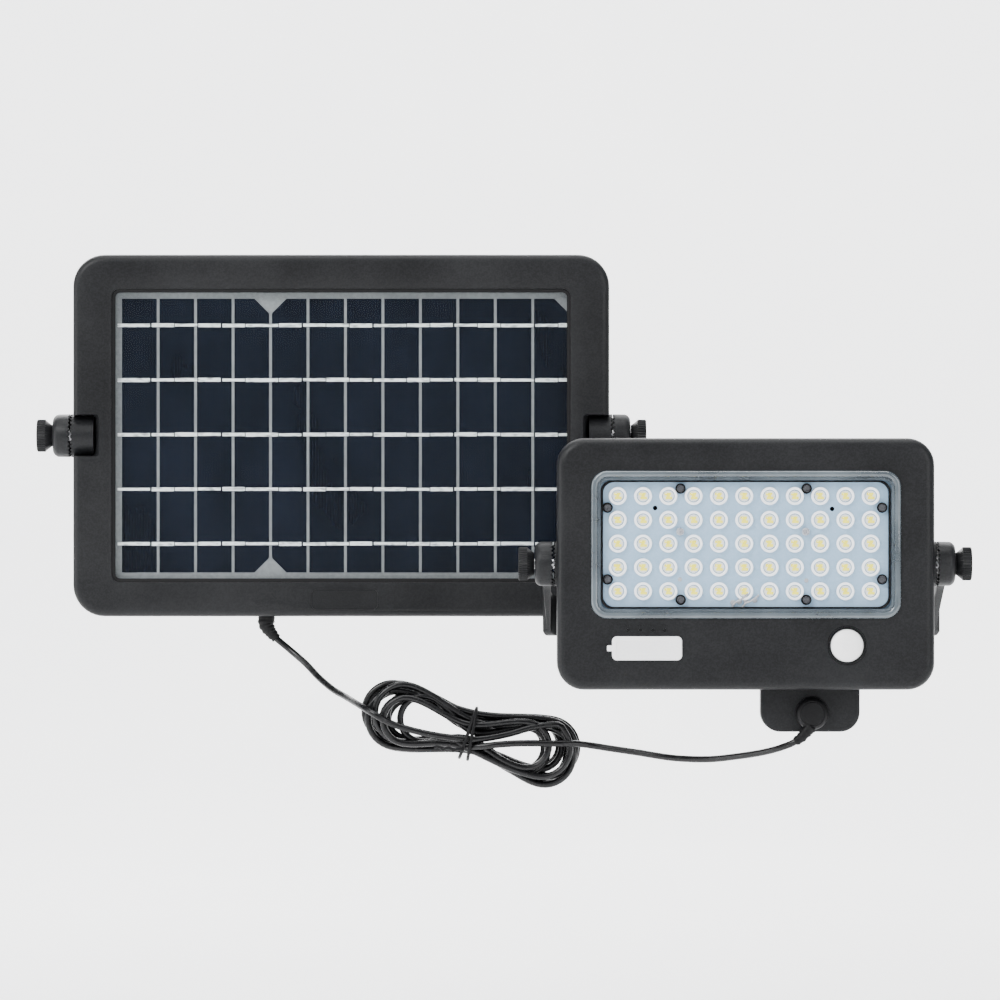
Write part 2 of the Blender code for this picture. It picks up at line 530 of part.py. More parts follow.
def light_shells(pivot):
    """The flood light's front housing with its ears, and the rear housing with battery box and lug."""
    half = LIGHT_W / 2
    face_back = LIGHT_FRONT + LIGHT_WALL
    inner_w = LIGHT_W - 2 * LIGHT_WALL
    inner_h = LIGHT_H - 2 * LIGHT_WALL
    hole_w = SKIRT_SIZE[0] + 2 * GAP
    hole_h = SKIRT_SIZE[1] + 2 * GAP
    edge = LIGHT_EDGE
    middle = (0.0, COVER_Z)
    front = loft("light_front_housing", [
        (hole_w, hole_h, 0.0060, face_back, middle),
        (hole_w, hole_h, 0.0060, LIGHT_FRONT, middle),
        (LIGHT_W - 2 * edge, LIGHT_H - 2 * edge, LIGHT_CORNER - edge, LIGHT_FRONT),
        (LIGHT_W - 0.6 * edge, LIGHT_H - 0.6 * edge, LIGHT_CORNER - 0.3 * edge, LIGHT_FRONT + 0.3 * edge),
        (LIGHT_W, LIGHT_H, LIGHT_CORNER, LIGHT_FRONT + edge),
        (LIGHT_W, LIGHT_H, LIGHT_CORNER, LIGHT_REAR),
        (inner_w, inner_h, LIGHT_CORNER - LIGHT_WALL, LIGHT_REAR),
        (inner_w, inner_h, LIGHT_CORNER - LIGHT_WALL, face_back),
    ], BLACK_PLASTIC, (0, 0, 0), pivot, ring=True)
    add_ears(front, "light", half, half - 0.0110, pivot)
    port_x, port_z = PORT_AT
    port_w, port_h = PORT_SIZE
    floor = LIGHT_FRONT + PORT_DEPTH
    pocket = box("port_pocket", (port_x - port_w / 2 - 0.002, face_back - 0.001, port_z - port_h / 2 - 0.002),
                 (port_x + port_w / 2 + 0.002, floor + 0.002, port_z + port_h / 2 + 0.002),
                 None, pivot, cutters)
    cut(front, pocket, "UNION")
    recess = loft("port_recess", [
        (port_w, port_h, 0.002, LIGHT_FRONT - 0.005, PORT_AT), (port_w, port_h, 0.002, floor, PORT_AT),
    ], None, (0, 0, 0), pivot, False, cutters, 2)
    cut(front, recess)
    cut(front, cylinders("button_hole", [(BUTTON_X, port_z)], BUTTON_R + GAP, floor - 0.001, floor + 0.005, pivot))
    cut(front, cylinders("sensor_hole", [PIR_AT], PIR_R + 0.0015, LIGHT_FRONT - 0.005, 0.0, pivot, ROUND_STEPS))
    spots = [(x, INDICATOR_Z) for x in INDICATOR_X]
    cut(front, cylinders("indicator_holes", spots, 0.0013, LIGHT_FRONT - 0.005, face_back + 0.005, pivot, 8))

    back = LIGHT_REAR + GAP
    out_w, out_h = LIGHT_W - 0.0010, LIGHT_H - 0.0010
    box_w, box_h = BOX_SIZE
    rear = loft("light_rear_housing", [
        (box_w - 0.005, box_h - 0.005, 0.008, BOX_REAR - 0.0070),
        (box_w - 0.005, box_h - 0.005, 0.008, back),
        (out_w, out_h, LIGHT_CORNER - 0.0005, back),
        (out_w, out_h, LIGHT_CORNER - 0.0005, back + 0.0015),
        (out_w - 0.006, out_h - 0.006, LIGHT_CORNER - 0.0035, back + 0.0032),
        (box_w + 0.002, box_h + 0.002, 0.011, back + 0.0032),
        (box_w, box_h, 0.010, BOX_REAR - 0.0030),
        (box_w - 0.0115, box_h - 0.0115, 0.005, BOX_REAR - 0.0030),
        (box_w - 0.0115, box_h - 0.0115, 0.005, BOX_REAR - 0.0055),
        (box_w - 0.0175, box_h - 0.0175, 0.003, BOX_REAR - 0.0055),
        (box_w - 0.0175, box_h - 0.0175, 0.003, BOX_REAR - 0.0070),
    ], BLACK_PLASTIC, (0, 0, 0), pivot, ring=True)
    lug_w = LUG_X[1] - LUG_X[0]
    lug_mid = sum(LUG_X) / 2
    lug_top = -LIGHT_H / 2 - 0.0004
    lug_sections = [(lug_w - 0.002, 0.0500, LUG_CORNER, LUG_FRONT, (lug_mid, LUG_BOTTOM + 0.0250)),
                    (lug_w, 0.0510, LUG_CORNER, LUG_FRONT + 0.001, (lug_mid, LUG_BOTTOM + 0.0255)),
                    (lug_w, 0.0510, LUG_CORNER, back + 0.0025, (lug_mid, LUG_BOTTOM + 0.0255))]
    lug = loft("lug", lug_sections, None, (0, 0, 0), pivot, False, cutters)
    trim = box("lug_trim", (LUG_X[0] - 0.01, LUG_FRONT - 0.01, lug_top),
               (LUG_X[1] + 0.01, back, LUG_BOTTOM + 0.06), None, pivot, cutters)
    cut(lug, trim)
    cut(rear, lug, "UNION")
    cut(rear, cylinders("socket_hole", [PLUG_AT], 0.0040, LUG_FRONT - 0.005, LUG_FRONT + 0.0095, pivot))
    return front, rear


def light_optics(pivot):
    """The clear cover, its seal, the LED board, the lens plate and the screws that hold them."""
    cover_w, cover_h = COVER_SIZE
    skirt_w, skirt_h = SKIRT_SIZE
    middle = (0.0, COVER_Z)
    seat = LIGHT_FRONT - GAP
    loft("lens_cover", [
        (skirt_w - 0.0034, skirt_h - 0.0034, 0.0043, LIGHT_FRONT, middle),
        (skirt_w - 0.0034, skirt_h - 0.0034, 0.0043, LIGHT_FRONT + 0.0050, middle),
        (skirt_w, skirt_h, 0.0060, LIGHT_FRONT + 0.0050, middle),
        (skirt_w, skirt_h, 0.0060, seat, middle),
        (cover_w, cover_h, COVER_CORNER, seat, middle),
        (cover_w, cover_h, COVER_CORNER, seat - 0.0008, middle),
        (cover_w - 0.0020, cover_h - 0.0020, COVER_CORNER - 0.0010, seat - 0.0018, middle),
    ], CLEAR_PLASTIC, (0, 0, 0), pivot)
    board_w, board_h = BOARD_SIZE
    board_front = LIGHT_FRONT + 0.0055
    loft("cover_seal", [
        (skirt_w + 0.0010, skirt_h + 0.0010, 0.0065, LIGHT_FRONT + LIGHT_WALL + GAP, middle),
        (board_w, board_h, 0.0080, LIGHT_FRONT + LIGHT_WALL + GAP, middle),
        (board_w, board_h, 0.0080, board_front - GAP, middle),
        (skirt_w + 0.0010, skirt_h + 0.0010, 0.0065, board_front - GAP, middle),
    ], BLACK_RUBBER, (0, 0, 0), pivot, ring=True)
    spots = SCREW_SPOTS + BOARD_SCREW_SPOTS
    board = loft("led_board", [
        (board_w, board_h, 0.008, board_front, middle), (board_w, board_h, 0.008, board_front + 0.0016, middle),
    ], BOARD_WHITE, (0, 0, 0), pivot)
    cut(board, cylinders("board_holes", spots, 0.0016, board_front - 0.002, board_front + 0.004, pivot, 6))
    plate_back = board_front - GAP
    plate = loft("led_lens_plate", [
        (0.1570, 0.0690, 0.004, plate_back, middle), (0.1570, 0.0690, 0.004, plate_back - 0.0004, middle),
    ], CLEAR_PLASTIC, (0, 0, 0), pivot, steps=2)
    mesh = bpy.data.meshes.new("led_lenses")
    bm = bmesh.new()
    for column in range(LED_COLUMNS):
        for row in range(LED_ROWS):
            x = LED_AT[0] + (column - (LED_COLUMNS - 1) / 2) * LED_PITCH[0]
            z = LED_AT[1] + (row - (LED_ROWS - 1) / 2) * LED_PITCH[1]
            place = Matrix.Translation((x, plate_back - 0.0021, z)) @ Matrix.Rotation(math.pi / 2, 4, "X")
            bmesh.ops.create_cone(bm, cap_ends=True, segments=5, radius1=LENS_R, radius2=LENS_R * 0.6,
                                  depth=0.0038, matrix=place)
    bm.to_mesh(mesh)
    bm.free()
    lenses = add_object("led_lenses", mesh, None, (0, 0, 0), pivot, cutters)
    cut(plate, lenses, "UNION")
    cut(plate, cylinders("plate_holes", spots, 0.0016, plate_back - 0.003, plate_back + 0.002, pivot, 6))
    head = plate_back - 0.0004 - GAP
    profile = [(0.0, -head + 0.0018), (0.0019, -head + 0.0018), (0.0023, -head + 0.0012), (0.0023, -head),
               (0.0012, -head), (0.0012, -board_front - 0.0045), (0.0, -board_front - 0.0045)]
    for k, (x, z) in enumerate(SCREW_SPOTS):
        turned(f"lens_plate_screw_{k + 1}", profile, STEEL, (x, 0, z), "-Y", pivot, 8)
    for k, (x, z) in enumerate(BOARD_SCREW_SPOTS):
        turned(f"led_board_screw_{k + 1}", profile, STEEL, (x, 0, z), "-Y", pivot, 8)


def light_electrics(pivot):
    """Sensor, charging port, button, indicators, boards, cells, battery door, socket and plug."""
    pir_x, pir_z = PIR_AT
    face = -LIGHT_FRONT
    turned("sensor_ring", [(0.0094, face + 0.0012), (0.0102, face + 0.0008), (0.0102, face - 0.0040),
                           (0.0094, face - 0.0040), (0.0094, face + 0.0012)],
           BLACK_PLASTIC, (pir_x, 0, pir_z), "-Y", pivot)
    dome = [(0.0, face + 0.0045)]
    for step in range(1, 6):
        angle = math.pi / 2 * step / 5
        dome.append((PIR_R * math.sin(angle), face + 0.0005 + 0.0040 * math.cos(angle)))
    dome += [(PIR_R, face - 0.0035), (PIR_R - 0.0012, face - 0.0035), (PIR_R - 0.0012, face + 0.0005),
             (0.0, face + 0.0030)]
    turned("sensor_dome", dome, PIR_WHITE, (pir_x, 0, pir_z), "-Y", pivot)
    turned("motion_sensor", [(0.0, 0.0120), (0.0042, 0.0120), (0.0042, 0.0085), (0.0048, 0.0085),
                             (0.0048, 0.0080), (0.0, 0.0080)],
           STEEL, (pir_x, 0, pir_z), "-Y", pivot, SMALL_STEPS)
    box("sensor_board", (pir_x - 0.012, -0.0077, pir_z - 0.010), (pir_x + 0.012, -0.0063, pir_z + 0.010),
        BOARD_GREEN, pivot)
    port_x, port_z = PORT_AT
    floor = LIGHT_FRONT + PORT_DEPTH
    loft("charge_port", [
        (0.0078, 0.0020, 0.0009, floor - GAP - 0.0012, (CHARGE_PORT_X, port_z)),
        (0.0078, 0.0020, 0.0009, floor - 0.0045, (CHARGE_PORT_X, port_z)),
        (0.0090, 0.0032, 0.0015, floor - 0.0045, (CHARGE_PORT_X, port_z)),
        (0.0090, 0.0032, 0.0015, floor - GAP, (CHARGE_PORT_X, port_z)),
    ], STEEL, (0, 0, 0), pivot, steps=2)
    turned("power_button", [(0.0, -floor + 0.0036), (BUTTON_R - 0.0004, -floor + 0.0036), (BUTTON_R, -floor + 0.0032),
                            (BUTTON_R, -floor - 0.0026), (0.0040, -floor - 0.0026), (0.0040, -floor - 0.0036),
                            (0.0, -floor - 0.0036)],
           BLACK_RUBBER, (BUTTON_X, 0, port_z), "-Y", pivot, SMALL_STEPS)
    board_y = floor + 0.0075
    box("control_board", (-0.0800, board_y, -0.0620), (-0.0150, board_y + 0.0016, -0.0345), BOARD_GREEN, pivot)
    pipe_back = LIGHT_FRONT + LIGHT_WALL + GAP
    pipes = box("indicator_light_pipes", (INDICATOR_X[0] - 0.003, pipe_back, INDICATOR_Z - 0.0012),
                (INDICATOR_X[-1] + 0.003, pipe_back + 0.0012, INDICATOR_Z + 0.0012), CLEAR_PLASTIC, pivot)
    spots = [(x, INDICATOR_Z) for x in INDICATOR_X]
    cut(pipes, cylinders("pipe_pips", spots, 0.0010, LIGHT_FRONT + 0.0006, pipe_back + 0.0006, pivot, 8), "UNION")
    box_w, box_h = BOX_SIZE
    door = loft("battery_door", [
        (box_w - 0.0121, box_h - 0.0121, 0.0047, BOX_REAR - 0.0052),
        (box_w - 0.0121, box_h - 0.0121, 0.0047, BOX_REAR - 0.0012),
        (box_w - 0.0141, box_h - 0.0141, 0.0037, BOX_REAR - 0.0002),
    ], BLACK_PLASTIC, (0, 0, 0), pivot)
    cut(door, cylinders("door_holes", REAR_SCREW_SPOTS, 0.0017, BOX_REAR - 0.010, BOX_REAR + 0.002, pivot, 8))
    for name, z in (("battery_cell_1", 0.0105), ("battery_cell_2", -0.0105)):
        turned(name, [(0.0, 0.0325), (0.0085, 0.0325), (0.0092, 0.0318), (0.0092, -0.0325), (0.0, -0.0325)],
               CELL_WRAP, (0, 0.0185, z), "X", pivot, SMALL_STEPS)
    turned("cord_socket", [(0.0027, -LUG_FRONT - 0.0005), (0.0037, -LUG_FRONT - 0.0005),
                           (0.0037, -LUG_FRONT - 0.0090), (0.0, -LUG_FRONT - 0.0090),
                           (0.0, -LUG_FRONT - 0.0082), (0.0027, -LUG_FRONT - 0.0082),
                           (0.0027, -LUG_FRONT - 0.0005)],
           BRASS, (PLUG_AT[0], 0, PLUG_AT[1]), "-Y", pivot, SMALL_STEPS)
    disc_back = -LUG_FRONT + GAP
    plug = turned("cord_plug", [(0.0, disc_back + 0.0088), (PLUG_R - 0.0030, disc_back + 0.0086),
                                (PLUG_R - 0.0008, disc_back + 0.0076), (PLUG_R, disc_back + 0.0056),
                                (PLUG_R, disc_back), (0.0024, disc_back), (0.0024, disc_back - 0.0070),
                                (0.0, disc_back - 0.0070)],
                  BLACK_RUBBER, (PLUG_AT[0], 0, PLUG_AT[1]), "-Y", pivot, ROUND_STEPS)
    depth = RIGHT_ROUTE[-1][1] - LIGHT_AT[1]
    start = Vector((PLUG_AT[0] + PLUG_NECK[0], depth, PLUG_AT[1] + PLUG_NECK[1]))
    end = Vector(RIGHT_ROUTE[-1]) - Vector(LIGHT_AT)
    end = end + (start - end).normalized() * CORD_CLEARANCE
    neck = cone_between("plug_neck", plug_offset(start), plug_offset(end), 0.0032, 0.0023, plug)
    cut(plug, neck, "UNION")


def plug_offset(point):
    """A point of the light's own space in the plug's turned space, where the plug's neck is joined."""
    local = Vector(point) - Vector((PLUG_AT[0], 0, PLUG_AT[1]))
    return Matrix.Rotation(-math.pi / 2, 3, "X") @ local


def rear_screws(pivot):
    """The four screws of the battery box's door."""
    seat = BOX_REAR - 0.0002 + GAP
    profile = [(0.0, seat + 0.0008), (0.0026, seat + 0.0008), (0.0030, seat + 0.0003), (0.0030, seat),
               (0.0014, seat), (0.0014, BOX_REAR - 0.0085), (0.0, BOX_REAR - 0.0085)]
    for k, (x, z) in enumerate(REAR_SCREW_SPOTS):
        turned(f"battery_door_screw_{k + 1}", profile, STEEL, (x, 0, z), "Y", pivot, 8)


def port_cover(pivot):
    """The rubber flap over the charging port: plate, plug lip and the strap that it swings on."""
    width, height = PORT_COVER_SIZE
    lip_w, lip_h = PORT_SIZE[0] - 0.0008, PORT_SIZE[1] - 0.0008
    seat = LIGHT_FRONT - GAP
    cover = loft("port_cover", [
        (lip_w - 0.002, lip_h - 0.002, 0.001, seat - 0.0004, PORT_AT),
        (lip_w - 0.002, lip_h - 0.002, 0.001, seat + 0.0030, PORT_AT),
        (lip_w, lip_h, 0.0018, seat + 0.0030, PORT_AT),
        (lip_w, lip_h, 0.0018, seat, PORT_AT),
        (width, height, 0.0027, seat, PORT_AT),
        (width, height, 0.0027, seat - 0.0008, PORT_AT),
        (width - 0.0012, height - 0.0012, 0.0021, seat - 0.0014, PORT_AT),
    ], WHITE_RUBBER, (0, 0, 0), pivot, steps=3)
    strap = box("port_strap", (TETHER_END, seat - 0.0009, PORT_AT[1] - 0.0016),
                (PORT_AT[0] - width / 2 + 0.001, seat - 0.0001, PORT_AT[1] + 0.0016), None, pivot, cutters)
    cut(cover, strap, "UNION")


def smooth_route(points, step):
    """Points at about an even step along a Catmull-Rom curve through the route's own points."""
    route = [Vector(p) for p in points]
    padded = [route[0] * 2 - route[1], *route, route[-1] * 2 - route[-2]]
    fine = []
    for before, start, end, after in zip(padded, padded[1:], padded[2:], padded[3:]):
        for k in range(8):
            t = k / 8
            fine.append(0.5 * (2 * start + (end - before) * t
                               + (2 * before - 5 * start + 4 * end - after) * t ** 2
                               + (3 * start - before - 3 * end + after) * t ** 3))
    fine.append(route[-1])
    kept = [fine[0]]
    for point in fine[1:-1]:
        if (point - kept[-1]).length >= step:
            kept.append(point)
    if (fine[-1] - kept[-1]).length < step / 2:
        kept.pop()
    kept.append(fine[-1])
    return kept


def cord_tube(name, route):
    """One free stretch of the cable, as a plain round tube."""
    points = smooth_route(route, 5.5 * CORD_R)
    curve = bpy.data.curves.new(name, "CURVE")
    curve.dimensions = "3D"
    curve.bevel_depth = CORD_R
    curve.bevel_resolution = 2
    curve.use_fill_caps = True
    spline = curve.splines.new("POLY")
    spline.points.add(len(points) - 1)
    for target, point in zip(spline.points, points):
        target.co = (*point, 1.0)
    curve.materials.append(GLOSS_CORD)
    made = bpy.data.objects.new(name, curve)
    parts.objects.link(made)
    return made


def cord_parts():
    """The two free stretches of cable, the tied hank between them and the tie round it."""
    cord_tube("cord_to_panel", LEFT_ROUTE)
    cord_tube("cord_to_light", RIGHT_ROUTE)
    hank = loft("cord_hank", [
        (HANK_LENGTH - 0.004, HANK_WIDTH - 0.004, HANK_WIDTH / 2 - 0.0025, -HANK_DEPTH / 2),
        (HANK_LENGTH, HANK_WIDTH, HANK_WIDTH / 2 - 0.0005, -HANK_DEPTH / 2 + 0.004),
        (HANK_LENGTH, HANK_WIDTH, HANK_WIDTH / 2 - 0.0005, HANK_DEPTH / 2 - 0.004),
        (HANK_LENGTH - 0.004, HANK_WIDTH - 0.004, HANK_WIDTH / 2 - 0.0025, HANK_DEPTH / 2),
    ], GLOSS_CORD, HANK_AT)
    hank.rotation_euler = (0, -HANK_TILT, 0)
    rim = 0.0011
    around_y = HANK_DEPTH / 2 + GAP
    around_z = HANK_WIDTH / 2 + GAP
    mesh = bpy.data.meshes.new("cord_tie")
    bm = bmesh.new()
    loops = []
    for x, grow in ((-0.0022, 0.0), (-0.0022, rim), (0.0022, rim), (0.0022, 0.0)):
        outline = rounded_outline(2 * (around_y + grow), 2 * (around_z + grow), 0.0005 + grow, (0, 0), 2)
        loops.append([bm.verts.new((x, y, z)) for y, z in outline])
    for first, second in zip(loops, loops[1:] + loops[:1]):
        for k in range(len(first)):
            j = (k + 1) % len(first)
            bm.faces.new((first[k], first[j], second[j], second[k]))
    bmesh.ops.recalc_face_normals(bm, faces=bm.faces)
    bm.to_mesh(mesh)
    bm.free()
    tie = add_object("cord_tie", mesh, BLACK_RUBBER, HANK_AT)
    tie.rotation_euler = (0, -HANK_TILT, 0)


def pivot_at(name, place):
    """An empty on a tilt axis, which everything of that unit hangs from."""
    made = bpy.data.objects.new(name, None)
    parts.objects.link(made)
    made.location = place
    return made


panel_pivot = pivot_at("panel_pivot", (0, PANEL_AXIS_Y, 0))
light_pivot = pivot_at("light_pivot", LIGHT_AT)

panel_unit(panel_pivot)
u_bracket("panel_bracket", PANEL_W / 2, -PANEL_AXIS_Y, 0.0, panel_pivot, 0.0)
light_shells(light_pivot)
light_optics(light_pivot)
light_electrics(light_pivot)
rear_screws(light_pivot)
port_cover(light_pivot)
u_bracket("light_bracket", LIGHT_W / 2, LIGHT_BRACKET_DEPTH, 0.0300, light_pivot, 0.0030)
for unit, half_width, unit_pivot in (("panel", PANEL_W / 2, panel_pivot), ("light", LIGHT_W / 2, light_pivot)):
    for hand, which in ((-1, "left"), (1, "right")):
        thumb_knob(f"{unit}_{which}", hand, half_width, unit_pivot)
for hand, which in ((-1, "left"), (1, "right")):
    ear_insert(f"light_insert_{which}", hand, LIGHT_W / 2, light_pivot)
cord_parts()
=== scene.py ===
"""Looks of the solar flood light: its moulded shells, solar cells, lamps, knobs, cable and studio.

Every piece is modelled in the frame's own metres: +X right, +Y into the wall, +Z up.
"""

import math

import bmesh
import bpy
from mathutils import Matrix, Vector


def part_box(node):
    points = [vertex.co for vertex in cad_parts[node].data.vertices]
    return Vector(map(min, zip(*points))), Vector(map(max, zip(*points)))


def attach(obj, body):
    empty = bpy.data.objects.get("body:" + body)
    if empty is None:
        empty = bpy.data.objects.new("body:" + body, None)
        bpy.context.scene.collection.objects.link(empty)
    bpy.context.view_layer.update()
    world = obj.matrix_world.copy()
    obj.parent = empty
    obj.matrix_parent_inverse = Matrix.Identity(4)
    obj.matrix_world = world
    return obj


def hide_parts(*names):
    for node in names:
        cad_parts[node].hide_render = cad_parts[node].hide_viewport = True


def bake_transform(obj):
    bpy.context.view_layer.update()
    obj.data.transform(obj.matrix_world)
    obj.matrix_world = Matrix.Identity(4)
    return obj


# Both units: the toothed joint, the thumb knob and the wall bracket.
BOSS_R = 0.0123
BOSS_LENGTH = 0.0092
BOSS_EDGE = 0.0040
TEETH = 27
TOOTH_H = 0.0008
TOOTH_INNER_R = 0.0075
EAR_PROUD = 0.0010
JOINT_GAP = 0.00035
BORE_R = 0.0033
STUD_R = 0.0029
KNOB_R = 0.00925
KNOB_NECK_R = 0.0060
KNOB_CONE = 0.0036
KNOB_HEAD = 0.0052
KNURLS = 40
STRAP_T = 0.0045
STRAP_W = 0.0220
BASE_T = 0.0040
BASE_CORNER_R = 0.0100
SLOT_R = 0.0026
SLOT_LENGTH = 0.0140
ARM_FRONT = -0.0040
ARM_BEND = 0.0100
BORE_REACH = 0.010
GAP = 0.0003

# The panel unit, about its tilt axis.
PANEL_AT = Vector((0, -0.066, 0))
PANEL_W = 0.3060
PANEL_H = 0.2065
PANEL_CORNER = 0.0180
PANEL_FRONT = -0.0135
PANEL_REAR = 0.0105
PANEL_WALL = 0.0030
PANEL_EDGE = 0.0043
WINDOW_W = 0.2617
WINDOW_H = 0.1673
WINDOW_CORNER = 0.0046
NOTCH_INNER = 0.1385
NOTCH_HALF_H = 0.0116
NOTCH_SLOPE = 0.0045
STRIPS = 12
STRIP_W = 0.0198
STRIP_PITCH = 0.0214
STRIP_H = 0.1563
CELL_X = 0.0023
CHAMFER = 0.0083
RIBBONS = 5
RIBBON_PITCH = 0.0312
RIBBON_W = 0.0019
RIBBON_RUN = 0.0128
RIBBON_LONG_RUN = 0.0185
WINDOW_LIP = 0.0005
SHOULDER_HALF_H = 0.0155
NOTCH_TOOL_W = 0.040
FILM_T = 0.0003
BACK_SCREW_X = (-0.136, 0.0, 0.136)
BACK_SCREW_Z = (-0.0955, 0.0955)
BOOT_X = -0.0430
LABEL_SIZE = (0.038, 0.012)
LABEL_AT = (0.0020, -0.0935)

# The flood light unit, about its tilt axis.
LIGHT_AT = Vector((0.2258, -0.193, -0.072))
LIGHT_BRACKET_DEPTH = 0.060
LIGHT_BRACKET_DROP = 0.0300
LIGHT_W = 0.2077
LIGHT_H = 0.1385
LIGHT_CORNER = 0.0150
LIGHT_FRONT = -0.0170
LIGHT_REAR = 0.0130
LIGHT_WALL = 0.0025
LIGHT_EDGE = 0.0050
COVER_SIZE = (0.1703, 0.0813)
COVER_CORNER = 0.0090
COVER_Z = 0.0107
COVER_RIM = 0.0034
SKIRT_SIZE = (0.1634, 0.0744)
BOARD_SIZE = (0.1720, 0.0830)
BOARD_BEHIND = 0.0055
BOARD_SEEN = (0.1569, 0.0685)
SKIRT_CORNER = 0.0060
LENS_RIM_T = 0.0015
# The blocks of a lamp's chip: left, right, low and high from its middle, and how far it stands out.
CHIP_BLOCKS = (
    (-0.0021, 0.0015, 0.0003, 0.0018, 0.00052),
    (-0.0015, 0.0021, -0.0018, -0.0003, 0.00052),
    (-0.0009, 0.0009, -0.0004, 0.0004, 0.00050),
)
LED_COLUMNS = 11
LED_ROWS = 5
LED_PITCH = (0.01392, 0.0131)
LED_AT = (-0.0008, 0.0112)
LENS_R = 0.0050
BOX_SIZE = (0.120, 0.080)
BOX_REAR = 0.035
LUG_X = (0.0088, 0.0637)
LUG_BOTTOM = -0.0930
LUG_CORNER = 0.0110
LUG_FRONT = 0.0030
PLUG_AT = (0.0372, -0.0827)
PLUG_R = 0.0090
PIR_AT = (0.0555, -0.0448)
PIR_R = 0.0090
PORT_AT = (-0.0544, -0.0463)
PORT_COVER_SIZE = (0.0385, 0.0132)
PORT_SIZE = (0.0362, 0.0112)
PORT_DEPTH = 0.0085
TETHER_END = -0.0764
INDICATOR_X = (-0.0647, -0.0580, -0.0511, -0.0446)
INDICATOR_Z = -0.0364
BUTTON_X = -0.0450
BUTTON_R = 0.0028
SCREW_SPOTS = (
    (-0.0359, 0.0415), (0.0335, 0.0415), (-0.0358, -0.0197), (0.0333, -0.0197),
    (-0.0760, 0.0310), (0.0750, 0.0310), (-0.0760, -0.0085), (0.0750, -0.0085),
)
BOARD_SCREW_SPOTS = ((-0.0361, 0.0178), (0.0331, 0.0178))
BOARD_HOLES = ((-0.0498, 0.0308), (0.0476, 0.0303))
BOARD_DOTS = ((-0.0362, -0.0085), (0.0334, -0.0091))
REAR_SCREW_SPOTS = ((-0.0480, 0.0280), (0.0480, 0.0280), (-0.0480, -0.0280), (0.0480, -0.0280))

# The cable.
CORD_R = 0.0019
HANK_AT = Vector((0.0737, -0.1250, -0.1680))
HANK_TILT = math.radians(14)
LOBE_R = (0.0160, 0.0128)
LAYER_STEP = 0.0035
LEFT_ROUTE = (
    (-0.0372, -0.0663, -0.1162), (-0.0288, -0.0680, -0.1231), (-0.0200, -0.0745, -0.1305),
    (-0.0125, -0.0840, -0.1379), (-0.0040, -0.0965, -0.1444), (0.0035, -0.1085, -0.1482),
    (0.0098, -0.1180, -0.1508),
)
RIGHT_ROUTE = (
    (0.1408, -0.1330, -0.1745), (0.1520, -0.1350, -0.1762), (0.1682, -0.1400, -0.1784),
    (0.1875, -0.1500, -0.1810), (0.2063, -0.1620, -0.1812), (0.2211, -0.1730, -0.1793),
    (0.2345, -0.1835, -0.1768), (0.2445, -0.1912, -0.1740), (0.2520, -0.1950, -0.1710),
    (0.2562, -0.1955, -0.1684),
)

CORNER_STEPS = 10

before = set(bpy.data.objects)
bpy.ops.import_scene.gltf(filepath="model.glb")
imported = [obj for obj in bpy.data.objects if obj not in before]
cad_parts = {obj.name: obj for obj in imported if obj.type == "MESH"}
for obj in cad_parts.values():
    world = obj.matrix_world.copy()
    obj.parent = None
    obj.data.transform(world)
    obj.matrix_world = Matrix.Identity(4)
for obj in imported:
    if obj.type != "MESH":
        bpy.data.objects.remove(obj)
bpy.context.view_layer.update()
scene = bpy.context.scene


# ---------------------------------------------------------------- studio

def make_camera():
    """A long lens level with the object, square to its faces."""
    data = bpy.data.cameras.new("camera")
    data.lens = 227.3
    data.sensor_width = 36
    made = bpy.data.objects.new("camera", data)
    scene.collection.objects.link(made)
    made.location = (0.0906, -3.6795, -0.0368)
    made.rotation_euler = (math.pi / 2, 0, 0)
    scene.camera = made


def area_light(name, place, target, size, power, colour=(1, 1, 1)):
    """A soft rectangular light that faces a point."""
    data = bpy.data.lights.new(name, "AREA")
    data.shape = "RECTANGLE"
    data.size, data.size_y = size
    data.energy = power
    data.color = colour
    made = bpy.data.objects.new(name, data)
    scene.collection.objects.link(made)
    made.location = place
    made.rotation_euler = (Vector(target) - Vector(place)).to_track_quat("-Z", "Y").to_euler()


def make_studio():
    """A pale floor that curves up into a backdrop, and soft lights."""
    bm = bmesh.new()
    section = [(-7.0, -0.42), (3.2, -0.42)]
    for step in range(1, 13):
        angle = math.pi / 2 * step / 12
        section.append((3.2 + 1.6 * math.sin(angle), 1.18 - 1.6 * math.cos(angle)))
    section.append((4.8, 7.0))
    rows = [[bm.verts.new((x, y, z)) for x in (-7, 7)] for y, z in section]
    for low, high in zip(rows, rows[1:]):
        bm.faces.new((low[0], low[1], high[1], high[0]))
    mesh = bpy.data.meshes.new("studio_floor")
    bm.to_mesh(mesh)
    bm.free()
    mesh.shade_smooth()
    made = bpy.data.objects.new("studio_floor", mesh)
    scene.collection.objects.link(made)
    mesh.materials.append(STUDIO)
    world = bpy.data.worlds.new("studio")
    scene.world = world
    world.use_nodes = True
    world.node_tree.nodes["Background"].inputs["Color"].default_value = (0.93, 0.96, 1.0, 1)
    world.node_tree.nodes["Background"].inputs["Strength"].default_value = 0.55
    middle = (0.09, -0.1, -0.04)
    area_light("key", (-1.5, -2.2, 1.7), middle, (1.6, 1.2), 112)
    area_light("fill", (2.0, -2.4, 0.7), middle, (1.6, 1.6), 46)
    area_light("top", (0.1, -0.5, 1.9), middle, (1.8, 0.8), 38)
    area_light("left_strip", (-1.7, -0.5, 0.1), middle, (0.5, 1.6), 20)
    area_light("backdrop_wash", (0.1, 2.4, 3.6), (0.1, 4.8, 0.2), (4.0, 0.8), 420)
    area_light("back_fill", (-1.2, 2.4, 1.8), middle, (2.0, 1.2), 60)


# ---------------------------------------------------------------- materials

